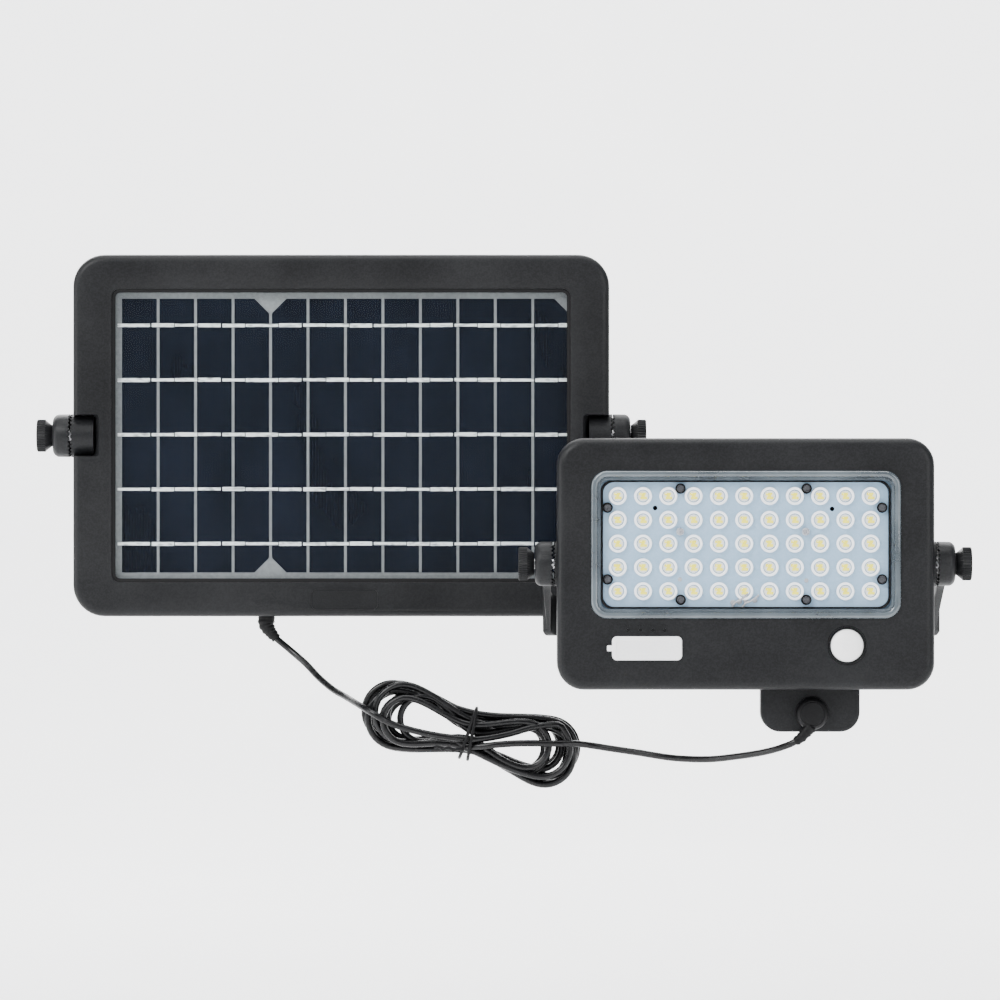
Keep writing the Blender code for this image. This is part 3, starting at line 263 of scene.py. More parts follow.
def new_material(name, colour, roughness, metallic=0.0, alpha=1.0):
    """A Principled material with uniform values, and its tree, links and shader."""
    made = bpy.data.materials.new(name)
    made.use_nodes = True
    tree = made.node_tree
    shader = tree.nodes["Principled BSDF"]
    shader.inputs["Base Color"].default_value = (*colour, 1.0)
    shader.inputs["Roughness"].default_value = roughness
    shader.inputs["Metallic"].default_value = metallic
    shader.inputs["Alpha"].default_value = alpha
    return made, tree, shader


def object_noise(tree, scale, detail=2.0, stretch=(1, 1, 1)):
    """A noise texture in the object's own metres."""
    place = tree.nodes.new("ShaderNodeTexCoord")
    mapping = tree.nodes.new("ShaderNodeMapping")
    mapping.inputs["Scale"].default_value = stretch
    texture = tree.nodes.new("ShaderNodeTexNoise")
    texture.inputs["Scale"].default_value = scale
    texture.inputs["Detail"].default_value = detail
    tree.links.new(place.outputs["Object"], mapping.inputs["Vector"])
    tree.links.new(mapping.outputs["Vector"], texture.inputs["Vector"])
    return texture


def ramp(tree, source, stops):
    """A colour ramp after a value, with (position, grey or colour) stops."""
    made = tree.nodes.new("ShaderNodeValToRGB")
    elements = made.color_ramp.elements
    for k, (position, colour) in enumerate(stops):
        element = elements[k] if k < 2 else elements.new(position)
        element.position = position
        element.color = (*colour, 1) if isinstance(colour, tuple) else (colour, colour, colour, 1)
    tree.links.new(source, made.inputs["Fac"])
    return made


def add_bump(tree, shader, height, strength, distance):
    """Bump from a height value."""
    bump = tree.nodes.new("ShaderNodeBump")
    bump.inputs["Strength"].default_value = strength
    bump.inputs["Distance"].default_value = distance
    tree.links.new(height, bump.inputs["Height"])
    tree.links.new(bump.outputs["Normal"], shader.inputs["Normal"])


def grained(name, dark, light, roughness, grain, strength, specular=0.5, glow=0.0):
    """A moulded surface: grain in the bump and colour, and slow changes in colour and gloss."""
    made, tree, shader = new_material(name, light, roughness)
    shader.inputs["Specular IOR Level"].default_value = specular
    # glow is light that the surface gives off itself: it keeps the backdrop evenly bright, and on the lamps'
    # white packages it is a painted glow.
    shader.inputs["Emission Color"].default_value = (*light, 1.0)
    shader.inputs["Emission Strength"].default_value = glow
    fine = object_noise(tree, grain, 1.5)
    slow = object_noise(tree, 22, 3.0)
    mix = tree.nodes.new("ShaderNodeMix")
    mix.data_type = "RGBA"
    mix.inputs["Factor"].default_value = 0.5
    for noise, first, last, socket in ((fine, 0.38, 0.62, 6), (slow, 0.35, 0.70, 7)):
        tint = ramp(tree, noise.outputs["Fac"], ((first, dark), (last, light)))
        tree.links.new(tint.outputs["Color"], mix.inputs[socket])
    tree.links.new(mix.outputs[2], shader.inputs["Base Color"])
    gloss = ramp(tree, slow.outputs["Fac"], ((0.3, roughness - 0.06), (0.7, roughness + 0.06)))
    tree.links.new(gloss.outputs["Color"], shader.inputs["Roughness"])
    add_bump(tree, shader, fine.outputs["Fac"], strength, 0.00012)
    return made


def clear(name, tint, roughness, gloss):
    """A thin clear sheet: it lets light through, and reflects more at grazing angles."""
    made = bpy.data.materials.new(name)
    made.use_nodes = True
    tree = made.node_tree
    tree.nodes.remove(tree.nodes["Principled BSDF"])
    through = tree.nodes.new("ShaderNodeBsdfTransparent")
    through.inputs["Color"].default_value = (*tint, 1)
    shine = tree.nodes.new("ShaderNodeBsdfGlossy")
    shine.inputs["Roughness"].default_value = roughness
    edge = tree.nodes.new("ShaderNodeLayerWeight")
    edge.inputs["Blend"].default_value = 0.5
    stops = ((0.0, gloss), (0.5, gloss * 1.5), (0.8, gloss * 2.5), (1.0, 0.12))
    share = ramp(tree, edge.outputs["Facing"], stops)
    smear = object_noise(tree, 60, 3.0)
    polish = ramp(tree, smear.outputs["Fac"], ((0.3, roughness), (0.8, roughness + 0.05)))
    tree.links.new(polish.outputs["Color"], shine.inputs["Roughness"])
    mix = tree.nodes.new("ShaderNodeMixShader")
    tree.links.new(share.outputs["Color"], mix.inputs[0])
    tree.links.new(through.outputs[0], mix.inputs[1])
    tree.links.new(shine.outputs[0], mix.inputs[2])
    output = tree.nodes["Material Output"]
    tree.links.new(mix.outputs[0], output.inputs["Surface"])
    return made


def metal(name, colour, roughness):
    """Plated or turned metal with a fine uneven polish."""
    made, tree, shader = new_material(name, colour, roughness, 1.0)
    scratches = object_noise(tree, 900, 3.0, (1, 0.2, 1))
    gloss = ramp(tree, scratches.outputs["Fac"], ((0.3, roughness - 0.08), (0.7, roughness + 0.12)))
    tree.links.new(gloss.outputs["Color"], shader.inputs["Roughness"])
    add_bump(tree, shader, scratches.outputs["Fac"], 0.15, 0.00005)
    return made


def silicon(name):
    """Dark blue silicon with the faint upright lines of its fine silver fingers."""
    made, tree, shader = new_material(name, (0.006, 0.009, 0.016), 0.22)
    shader.inputs["Specular IOR Level"].default_value = 0.15
    place = tree.nodes.new("ShaderNodeTexCoord")
    lines = tree.nodes.new("ShaderNodeTexWave")
    lines.wave_type = "BANDS"
    lines.bands_direction = "X"
    lines.inputs["Scale"].default_value = 2 * math.pi / (20 * 0.00155)
    lines.inputs["Distortion"].default_value = 0.0
    tree.links.new(place.outputs["Object"], lines.inputs["Vector"])
    finger = ramp(tree, lines.outputs["Fac"], ((0.90, (0, 0, 0)), (1.0, (0.008, 0.010, 0.014))))
    cloud = object_noise(tree, 30, 4.0, (1.0, 1.0, 0.5))
    base = ramp(tree, cloud.outputs["Fac"],
                ((0.32, (0.0018, 0.0028, 0.0062)), (0.72, (0.0045, 0.0062, 0.0125))))
    mix = tree.nodes.new("ShaderNodeMix")
    mix.data_type = "RGBA"
    mix.blend_type = "ADD"
    mix.inputs["Factor"].default_value = 1.0
    tree.links.new(base.outputs["Color"], mix.inputs[6])
    tree.links.new(finger.outputs["Color"], mix.inputs[7])
    tree.links.new(mix.outputs[2], shader.inputs["Base Color"])
    add_bump(tree, shader, cloud.outputs["Fac"], 0.1, 0.0001)
    return made


def solder(name):
    """Tinned ribbon: bright, lumpy and streaked along its run."""
    made, tree, shader = new_material(name, (0.78, 0.80, 0.82), 0.38, 0.55)
    streak = object_noise(tree, 420, 4.0, (0.6, 1, 2.0))
    colour = ramp(tree, streak.outputs["Fac"], ((0.30, (0.30, 0.31, 0.33)), (0.52, (0.86, 0.87, 0.88))))
    tree.links.new(colour.outputs["Color"], shader.inputs["Base Color"])
    add_bump(tree, shader, streak.outputs["Fac"], 0.8, 0.0004)
    return made


def sheath(name):
    """The cable's glossy sheath, a little uneven along its length."""
    made, tree, shader = new_material(name, (0.0022, 0.0022, 0.0026), 0.22)
    shader.inputs["Specular IOR Level"].default_value = 0.28
    ripple = object_noise(tree, 180, 2.0)
    gloss = ramp(tree, ripple.outputs["Fac"], ((0.3, 0.18), (0.7, 0.34)))
    tree.links.new(gloss.outputs["Color"], shader.inputs["Roughness"])
    add_bump(tree, shader, ripple.outputs["Fac"], 0.2, 0.0002)
    return made


def lens_plastic_painted_glow(name):
    """The rims of the lamps' lenses: polished white plastic with a painted glow, so that they stand out
    bright white against the board.
    """
    made, tree, shader = new_material(name, (0.95, 0.96, 0.97), 0.06, 0.0, 0.80)
    flow = object_noise(tree, 500, 2.0)
    gloss = ramp(tree, flow.outputs["Fac"], ((0.3, 0.04), (0.7, 0.10)))
    tree.links.new(gloss.outputs["Color"], shader.inputs["Roughness"])
    shader.inputs["Coat Weight"].default_value = 0.8
    # Painted glow: the rims give off white light of their own, though they are no lamp.
    shader.inputs["Emission Color"].default_value = (1.0, 1.0, 1.0, 1.0)
    shader.inputs["Emission Strength"].default_value = 0.45
    return made


def rim_plastic(name):
    """The cover's moulded rim: clear plastic that looks grey-blue where it is thick, with a high polish."""
    made, tree, shader = new_material(name, (0.075, 0.092, 0.105), 0.10, 0.0, 0.86)
    flow = object_noise(tree, 45, 3.0)
    tint = ramp(tree, flow.outputs["Fac"], ((0.30, (0.055, 0.068, 0.078)), (0.72, (0.110, 0.135, 0.152))))
    tree.links.new(tint.outputs["Color"], shader.inputs["Base Color"])
    gloss = ramp(tree, flow.outputs["Fac"], ((0.3, 0.06), (0.7, 0.14)))
    tree.links.new(gloss.outputs["Color"], shader.inputs["Roughness"])
    shader.inputs["Coat Weight"].default_value = 0.7
    shader.inputs["Coat Roughness"].default_value = 0.05
    return made


STUDIO = grained("studio_white", (0.86, 0.86, 0.87), (0.90, 0.90, 0.90), 0.75, 4, 0.02, glow=0.70)
PLASTIC = grained("charcoal_plastic", (0.0045, 0.0048, 0.0054), (0.0115, 0.0120, 0.0131),
                  0.43, 1150, 0.80, specular=0.17)
PLASTIC_FINE = grained("charcoal_plastic_fine", (0.0045, 0.0047, 0.0052), (0.0080, 0.0084, 0.0092),
                       0.36, 1800, 0.30, specular=0.17)
RUBBER = grained("black_rubber", (0.0025, 0.0025, 0.0028), (0.0050, 0.0050, 0.0056),
                 0.50, 1500, 0.30, specular=0.14)
SHEATH = sheath("cable_sheath")
WHITE_RUBBER = grained("white_rubber", (0.84, 0.84, 0.85), (0.90, 0.90, 0.90), 0.50, 1200, 0.12)
SENSOR_WHITE = grained("sensor_white", (0.88, 0.88, 0.88), (0.93, 0.93, 0.92), 0.34, 700, 0.05)
SILICON = silicon("silicon")
SOLDER = solder("tinned_ribbon")
BACKSHEET = grained("backsheet", (0.13, 0.135, 0.145), (0.19, 0.195, 0.205), 0.55, 500, 0.10)
BOARD = grained("lamp_board", (0.27, 0.40, 0.52), (0.31, 0.44, 0.56), 0.42, 700, 0.06, specular=0.3)
BOARD_GREEN = grained("green_board", (0.02, 0.13, 0.05), (0.03, 0.17, 0.07), 0.35, 600, 0.10)
PHOSPHOR = grained("phosphor", (0.88, 0.74, 0.03), (0.94, 0.82, 0.06), 0.45, 2500, 0.15, glow=0.40)
# The lamps' white packages have a painted glow (glow=0.50): they give off light though they are no lamp.
PACKAGE_PAINTED_GLOW = grained("lamp_package", (0.88, 0.89, 0.90), (0.94, 0.95, 0.96), 0.40, 1500, 0.08, glow=0.50)
WRAP = grained("battery_wrap", (0.03, 0.16, 0.36), (0.05, 0.21, 0.44), 0.32, 300, 0.05)
WIRE = grained("grey_wire", (0.30, 0.30, 0.31), (0.42, 0.42, 0.43), 0.45, 900, 0.10)
# The lens rims carry a painted glow.
LENS_RIM_PAINTED_GLOW = lens_plastic_painted_glow("lens_rim")
LENS = clear("lamp_lens", (0.97, 0.98, 0.99), 0.03, 0.040)
GLASS = clear("panel_glass", (0.97, 0.985, 0.98), 0.02, 0.004)
COVER = clear("clear_cover", (0.985, 0.99, 1.0), 0.02, 0.004)
COVER_EDGE = rim_plastic("cover_rim")
DARK_STEEL = metal("blackened_steel", (0.10, 0.10, 0.105), 0.34)
STEEL = metal("zinc_steel", (0.62, 0.62, 0.64), 0.28)
BRASS = metal("turned_brass", (0.72, 0.53, 0.24), 0.30)


# ---------------------------------------------------------------- mesh helpers

def link(name, bm, material, at=(0, 0, 0)):
    """An object from a bmesh, moved to its place in the frame."""
    bmesh.ops.recalc_face_normals(bm, faces=bm.faces)
    mesh = bpy.data.meshes.new(name)
    bm.to_mesh(mesh)
    bm.free()
    mesh.transform(Matrix.Translation(Vector(at)))
    mesh.materials.append(material)
    made = bpy.data.objects.new(name, mesh)
    scene.collection.objects.link(made)
    return made


def smooth(made, angle=32):
    """Smooth shading with sharp edges over the angle in degrees."""
    made.data.shade_smooth()
    made.data.set_sharp_from_angle(angle=math.radians(angle))
    return made


def bake(made):
    """Applies an object's modifiers."""
    graph = bpy.context.evaluated_depsgraph_get()
    mesh = bpy.data.meshes.new_from_object(made.evaluated_get(graph))
    made.modifiers.clear()
    made.data = mesh
    return made


def join(made, other):
    """Adds the faces of another object to a piece, and removes that object."""
    bm = bmesh.new()
    bm.from_mesh(made.data)
    bm.from_mesh(other.data)
    bm.to_mesh(made.data)
    bm.free()
    bpy.data.objects.remove(other, do_unlink=True)
    return made


def combine(made, tool, operation="DIFFERENCE"):
    """A Boolean with a tool object, which is then removed."""
    step = made.modifiers.new("combine", "BOOLEAN")
    step.operation = operation
    step.solver = "EXACT"
    step.object = tool
    bake(made)
    bpy.data.objects.remove(tool, do_unlink=True)
    return made


def soften(made, width, segments=2, angle=40):
    """Rounds the sharp edges."""
    edge = made.modifiers.new("edge", "BEVEL")
    edge.width = width
    edge.segments = segments
    edge.limit_method = "ANGLE"
    edge.angle_limit = math.radians(angle)
    edge.harden_normals = False
    return smooth(bake(made))


def piece(made, body, slot, *nodes):
    """Puts a piece on its body and hides the CAD nodes that it stands for; slot, the name of its finish, is
    not used.
    """
    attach(made, body)
    if nodes:
        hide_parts(*nodes)
    return made


def rounded_outline(width, height, radius, centre=(0.0, 0.0), steps=CORNER_STEPS):
    """Points round a rectangle with round corners, anticlockwise in X and Z."""
    points = []
    for corner in range(4):
        turn = math.pi / 2 * corner
        side_x = 1 if corner in (0, 3) else -1
        side_z = 1 if corner in (0, 1) else -1
        middle_x = centre[0] + side_x * (width / 2 - radius)
        middle_z = centre[1] + side_z * (height / 2 - radius)
        for step in range(steps + 1):
            angle = turn + math.pi / 2 * step / steps
            points.append((middle_x + radius * math.cos(angle), middle_z + radius * math.sin(angle)))
    return points


def bridge(bm, loops, closed):
    """Faces between neighbouring loops, and between the last and the first if closed."""
    pairs = list(zip(loops, loops[1:]))
    if closed:
        pairs.append((loops[-1], loops[0]))
    for first, second in pairs:
        for k in range(len(first)):
            j = (k + 1) % len(first)
            bm.faces.new((first[k], first[j], second[j], second[k]))


def loft(name, sections, material, at=(0, 0, 0), ring=False, steps=CORNER_STEPS):
    """A body through rounded rectangles (width, height, radius, y, centre), capped, or a closed ring."""
    bm = bmesh.new()
    loops = []
    for width, height, radius, y, *centre in sections:
        outline = rounded_outline(width, height, radius, centre[0] if centre else (0, 0), steps)
        loops.append([bm.verts.new((x, y, z)) for x, z in outline])
    bridge(bm, loops, ring)
    if not ring:
        bm.faces.new(loops[0])
        bm.faces.new(loops[-1])
    return smooth(link(name, bm, material, at))


def round_over(width, height, radius, y, edge, towards=1, centre=(0, 0), steps=6):
    """Sections of a quarter-round edge, from the face at y out to the full size."""
    sections = []
    for step in range(steps + 1):
        angle = math.pi / 2 * step / steps
        inset = edge * (1 - math.sin(angle))
        depth = y + towards * edge * (1 - math.cos(angle))
        sections.append((width - 2 * inset, height - 2 * inset, max(radius - inset, 0.0003), depth, centre))
    return sections


AXES = {
    "Y": Matrix.Rotation(-math.pi / 2, 4, "X"), "-Y": Matrix.Rotation(math.pi / 2, 4, "X"),
    "X": Matrix.Rotation(math.pi / 2, 4, "Y"), "-X": Matrix.Rotation(-math.pi / 2, 4, "Y"),
    "Z": Matrix.Identity(4),
}


def spin(bm, profile, axis, at, steps, closed=False, knurls=0, knurl_depth=0.0):
    """Adds a turned body: profile is (radius, height), with knurls cut in where the radius is largest."""
    place = Matrix.Translation(Vector(at)) @ AXES[axis]
    largest = max(radius for radius, _ in profile)
    loops = []
    for radius, height in profile:
        if radius < 1e-6:
            loops.append([bm.verts.new(place @ Vector((0, 0, height)))])
            continue
        loop = []
        for k in range(steps):
            angle = 2 * math.pi * k / steps
            cut = 0.0
            if knurls and radius > largest - 0.0002:
                cut = knurl_depth * (0.5 - 0.5 * math.cos(angle * knurls)) ** 0.7
            reach = radius - cut
            corner = Vector((reach * math.cos(angle), reach * math.sin(angle), height))
            loop.append(bm.verts.new(place @ corner))
        loops.append(loop)
    pairs = list(zip(loops, loops[1:])) + ([(loops[-1], loops[0])] if closed else [])
    for first, second in pairs:
        for k in range(steps):
            j = (k + 1) % steps
            corners = [loop[step % len(loop)] for loop, step in
                       ((first, k), (first, j), (second, j), (second, k))]
            kept = list(dict.fromkeys(corners))
            if len(kept) > 2:
                bm.faces.new(kept)
    if not closed:
        for loop in (loops[0], loops[-1]):
            if len(loop) > 2:
                bm.faces.new(loop)


def turned(name, profile, material, axis, at, steps=48, **options):
    """One turned body as an object."""
    bm = bmesh.new()
    spin(bm, profile, axis, at, steps, **options)
    return smooth(link(name, bm, material))


def block(bm, low, high):
    """Adds a box between two corners."""
    size = [b - a for a, b in zip(low, high)]
    middle = [(a + b) / 2 for a, b in zip(low, high)]
    bmesh.ops.create_cube(bm, size=1.0, matrix=Matrix.Translation(middle) @ Matrix.Diagonal((*size, 1.0)))


def box_tool(low, high, at=(0, 0, 0)):
    """A box to cut or join with."""
    bm = bmesh.new()
    block(bm, low, high)
    return link("tool", bm, PLASTIC, at)


def drill(spots, radius, low_y, high_y, at, steps=32):
    """Round cutters along Y at places in X and Z."""
    bm = bmesh.new()
    for x, z in spots:
        spin(bm, [(radius, low_y), (radius, high_y)], "Y", (x, 0, z), steps)
    return link("tool", bm, PLASTIC, at)


def smooth_route(points, step):
    """Points at about an even step along a Catmull-Rom curve through the route's own points."""
    route = [Vector(p) for p in points]
    padded = [route[0] * 2 - route[1], *route, route[-1] * 2 - route[-2]]
    kept = [route[0]]
    for before, start, end, after in zip(padded, padded[1:], padded[2:], padded[3:]):
        for k in range(1, 13):
            t = k / 12
            point = 0.5 * (2 * start + (end - before) * t
                           + (2 * before - 5 * start + 4 * end - after) * t ** 2
                           + (3 * start - before - 3 * end + after) * t ** 3)
            if (point - kept[-1]).length >= step:
                kept.append(point)
    if (route[-1] - kept[-1]).length < step / 2:
        kept.pop()
    kept.append(route[-1])
    return kept


def tube(name, path, radius, material, sides=14):
    """A round tube along a path, its rings kept from twisting. radius may be a list, one per point."""
    radii = radius if isinstance(radius, list) else [radius] * len(path)
    bm = bmesh.new()
    loops = []
    normal = None
    for k, point in enumerate(path):
        along = (path[min(k + 1, len(path) - 1)] - path[max(k - 1, 0)]).normalized()
        if normal is None:
            normal = along.orthogonal().normalized()
        normal = (normal - along * normal.dot(along)).normalized()
        side = along.cross(normal)
        loop = []
        for step in range(sides):
            angle = 2 * math.pi * step / sides
            reach = normal * math.cos(angle) + side * math.sin(angle)
            loop.append(bm.verts.new(point + reach * radii[k]))
        loops.append(loop)
    bridge(bm, loops, False)
    bm.faces.new(loops[0])
    bm.faces.new(loops[-1])
    return smooth(link(name, bm, material), 50)


# ---------------------------------------------------------------- joints, knobs and brackets

def boss_start(half_width):
    """How far from the middle a bracket's boss begins, beside the ear of its unit."""
    return half_width + EAR_PROUD + TOOTH_H * 2 + JOINT_GAP


def ear(made, side, half, root, at):
    """Adds a unit's toothed ear, from root outwards, and drills the stud's hole through it."""
    combine(made, toothed_boss(side, half + EAR_PROUD, root, True, 0, 0.0, at), "UNION")
    bm = bmesh.new()
    bore = [(BORE_R, half - BORE_REACH), (BORE_R, half + BORE_REACH)]
    spin(bm, bore, "X" if side > 0 else "-X", at, 32)
    combine(made, link("tool", bm, PLASTIC))


def shell(width, height, corner, wall, front, rear, edge, steps=6):
    """Sections of a hollow housing: round the outside from the front face, and back along the inside."""
    inner = (width - 2 * wall, height - 2 * wall, corner - wall)
    return [*round_over(width, height, corner, front, edge, steps=steps), (width, height, corner, rear),
            (*inner, rear), (*inner, front + wall)]


def toothed_boss(side, root_x, end_x, facing, phase, edge, at):
    """A boss about X whose face at root_x has radial teeth towards facing, and a round far edge."""
    towards = 1 if facing else -1
    section = [(0.0008, root_x, 0.0), (TOOTH_INNER_R, root_x, 0.0), (BOSS_R - 0.0002, root_x, TOOTH_H),
               (BOSS_R, root_x - towards * 0.0002, TOOTH_H)]
    for step in range(1, 8) if edge else ():
        angle = math.pi / 2 * step / 7
        section.append((BOSS_R - edge * (1 - math.cos(angle)),
                        end_x + towards * edge * (1 - math.sin(angle)), 0.0))
    if not edge:
        section.append((BOSS_R, end_x, 0.0))
    section.append((0.0008, end_x, 0.0))
    bm = bmesh.new()
    count = TEETH * 4
    loops = []
    for radius, along, tooth in section:
        loop = []
        for k in range(count):
            angle = 2 * math.pi * (k + 0.5) / count
            lift = tooth if ((k // 2) + phase) % 2 else 0.0
            x = side * (along + towards * lift)
            loop.append(bm.verts.new((x, radius * math.cos(angle), radius * math.sin(angle))))
        loops.append(loop)
    bridge(bm, loops, True)
    return link("tool", bm, PLASTIC, at)


def bracket(name, half_width, depth, drop, arm_taper, at, body):
    """The strap bent to a U, softened, with a toothed boss at the end of each arm and two slots."""
    boss_root = boss_start(half_width)
    arm_in = boss_root + 0.0001
    arm_out = arm_in + STRAP_T
    inner_r = BASE_CORNER_R - BASE_T
    outer = [(arm_in, ARM_FRONT), (arm_out, ARM_FRONT)]
    inner = []
    for k in range(1, 8):
        y = ARM_FRONT + (depth - BASE_CORNER_R - ARM_FRONT) * k / 8
        outer.append((arm_out, y))
        inner.append((arm_in, y))
    for step in range(9):
        angle = math.pi / 2 * step / 8
        over, back = 1 - math.cos(angle), 1 - math.sin(angle)
        outer.append((arm_out - BASE_CORNER_R * over, depth - BASE_CORNER_R * back))
        inner.append((arm_in - inner_r * over, depth - BASE_T - inner_r * back))
    whole = outer + [(-x, y) for x, y in reversed(outer)]
    whole += [(-x, y) for x, y in inner] + inner[::-1]
    bm = bmesh.new()
    loops = []
    for level in (-STRAP_W / 2, STRAP_W / 2):
        loop = []
        for x, y in whole:
            share = min(1.0, max(0.0, (y - ARM_BEND) / (depth - BASE_T - ARM_BEND)))
            on_arm = abs(x) > arm_out - 0.0001 and y < depth - BASE_CORNER_R + 0.0001
            narrow = arm_taper * share if on_arm and level < 0 else 0.0
            loop.append(bm.verts.new((x - math.copysign(narrow, x), y, level - drop * share)))
        loops.append(loop)
    bridge(bm, loops, False)
    bm.faces.new(loops[0])
    bm.faces.new(loops[1])
    bm.normal_update()
    bmesh.ops.triangulate(bm, faces=[f for f in bm.faces if len(f.verts) > 4])
    made = link(f"{name}_moulded", bm, PLASTIC, at)
    for side in (-1, 1):
        spot = (side * half_width * 0.55, -drop)
        combine(made, loft("tool", [(SLOT_LENGTH, 2 * SLOT_R, SLOT_R * 0.999, y, spot)
                                    for y in (depth - 0.010, depth + 0.010)], PLASTIC, at))
    soften(made, 0.0007, 2, 50)
    for side in (-1, 1):
        join(made, toothed_boss(side, boss_root, boss_root + BOSS_LENGTH, False, 1, BOSS_EDGE, at))
    return piece(smooth(made, 38), body, "black_plastic", name)


def knob(name, side, half_width, at, body):
    """A thumb knob: a cone from its neck to a knurled head with a dished end."""
    start = boss_start(half_width) + BOSS_LENGTH + GAP
    head = start + KNOB_CONE
    end = head + KNOB_HEAD
    hole_end = start + 0.0062
    profile = [
        (0.0, end - 0.0006), (0.0055, end - 0.0006), (0.0062, end), (KNOB_R - 0.0007, end),
        (KNOB_R, end - 0.0005), (KNOB_R, head + 0.0003), (KNOB_R - 0.0005, head),
        (KNOB_NECK_R + 0.0004, start + 0.0006),
        (KNOB_NECK_R, start), (STUD_R + GAP, start), (STUD_R + GAP, hole_end), (0.0, hole_end),
    ]
    made = turned(f"{name}_knurled", profile, PLASTIC_FINE, "X" if side > 0 else "-X", at, KNURLS * 6,
                  knurls=KNURLS, knurl_depth=0.0005)
    return piece(made, body, "black_plastic", name)


# ---------------------------------------------------------------- the solar panel

def panel_frame():
    """The moulded frame: rounded edges, window rebate, open-sided notches and toothed ears."""
    half = PANEL_W / 2
    back = PANEL_FRONT + PANEL_WALL
    lip = WINDOW_LIP
    sections = [
        (WINDOW_W, WINDOW_H, WINDOW_CORNER, back),
        (WINDOW_W, WINDOW_H, WINDOW_CORNER, PANEL_FRONT + lip),
        (WINDOW_W + 0.6 * lip, WINDOW_H + 0.6 * lip, WINDOW_CORNER + 0.3 * lip, PANEL_FRONT + 0.3 * lip),
        (WINDOW_W + 2 * lip, WINDOW_H + 2 * lip, WINDOW_CORNER + lip, PANEL_FRONT),
        *shell(PANEL_W, PANEL_H, PANEL_CORNER, PANEL_WALL, PANEL_FRONT, PANEL_REAR, PANEL_EDGE),
    ]
    made = loft("panel_frame_moulded", sections, PLASTIC, PANEL_AT, ring=True)
    for side in (-1, 1):
        low_x, high_x = sorted((side * (half - PANEL_WALL / 2), side * (NOTCH_INNER - 0.0020)))
        shoulder = box_tool((low_x, back - 0.001, -SHOULDER_HALF_H),
                            (high_x, PANEL_REAR + 0.0015, SHOULDER_HALF_H), PANEL_AT)
        combine(made, shoulder, "UNION")
        width = NOTCH_TOOL_W
        deep = side * (NOTCH_INNER + NOTCH_SLOPE + width / 2)
        near = side * (NOTCH_INNER + width / 2)
        height = 2 * NOTCH_HALF_H
        notch = loft("tool", [
            (width + 0.0016, height + 0.0016, 0.0026, PANEL_FRONT - 0.001, (near, 0)),
            (width + 0.0010, height + 0.0010, 0.0023, PANEL_FRONT + 0.0001, (near, 0)),
            (width + 0.0002, height + 0.0002, 0.0020, PANEL_FRONT + 0.0007, (near, 0)),
            (width, height, 0.0018, PANEL_FRONT + 0.0014, (near + side * 0.0003, 0)),
            (width, height, 0.0018, 0.0, (deep, 0)),
        ], PLASTIC, PANEL_AT, steps=5)
        combine(made, notch)
        ear(made, side, half, NOTCH_INNER + 0.0030, PANEL_AT)
    label = loft("tool", [
        (*LABEL_SIZE, 0.003, PANEL_FRONT - 0.001, LABEL_AT),
        (LABEL_SIZE[0] - 0.0004, LABEL_SIZE[1] - 0.0004, 0.0028, PANEL_FRONT + 0.0005, LABEL_AT),
    ], PLASTIC, PANEL_AT)
    combine(made, label)
    piece(smooth(made, 34), "solar_panel", "black_plastic", "panel_frame")
    lining = loft("window_lining", [
        (WINDOW_W - 0.0010, WINDOW_H - 0.0010, WINDOW_CORNER - 0.0005, back),
        (WINDOW_W - 0.0008, WINDOW_H - 0.0008, WINDOW_CORNER - 0.0004, PANEL_FRONT + 0.0010),
        (WINDOW_W, WINDOW_H, WINDOW_CORNER, PANEL_FRONT + 0.0006),
        (WINDOW_W, WINDOW_H, WINDOW_CORNER, back),
    ], RUBBER, PANEL_AT, ring=True)
    piece(lining, "solar_panel", "black_rubber")


def cell_outline(x, low, high, left_cut, right_cut):
    """Corners of a solar strip in X and Z, with a chamfer where the strip was the wafer's edge."""
    half = STRIP_W / 2
    left, right = x - half, x + half
    points = [(right, high - CHAMFER), (right - CHAMFER, high)] if right_cut else [(right, high)]
    points += [(left + CHAMFER, high), (left, high - CHAMFER)] if left_cut else [(left, high)]
    points += [(left, low + CHAMFER), (left + CHAMFER, low)] if left_cut else [(left, low)]
    points += [(right - CHAMFER, low), (right, low + CHAMFER)] if right_cut else [(right, low)]
    return points


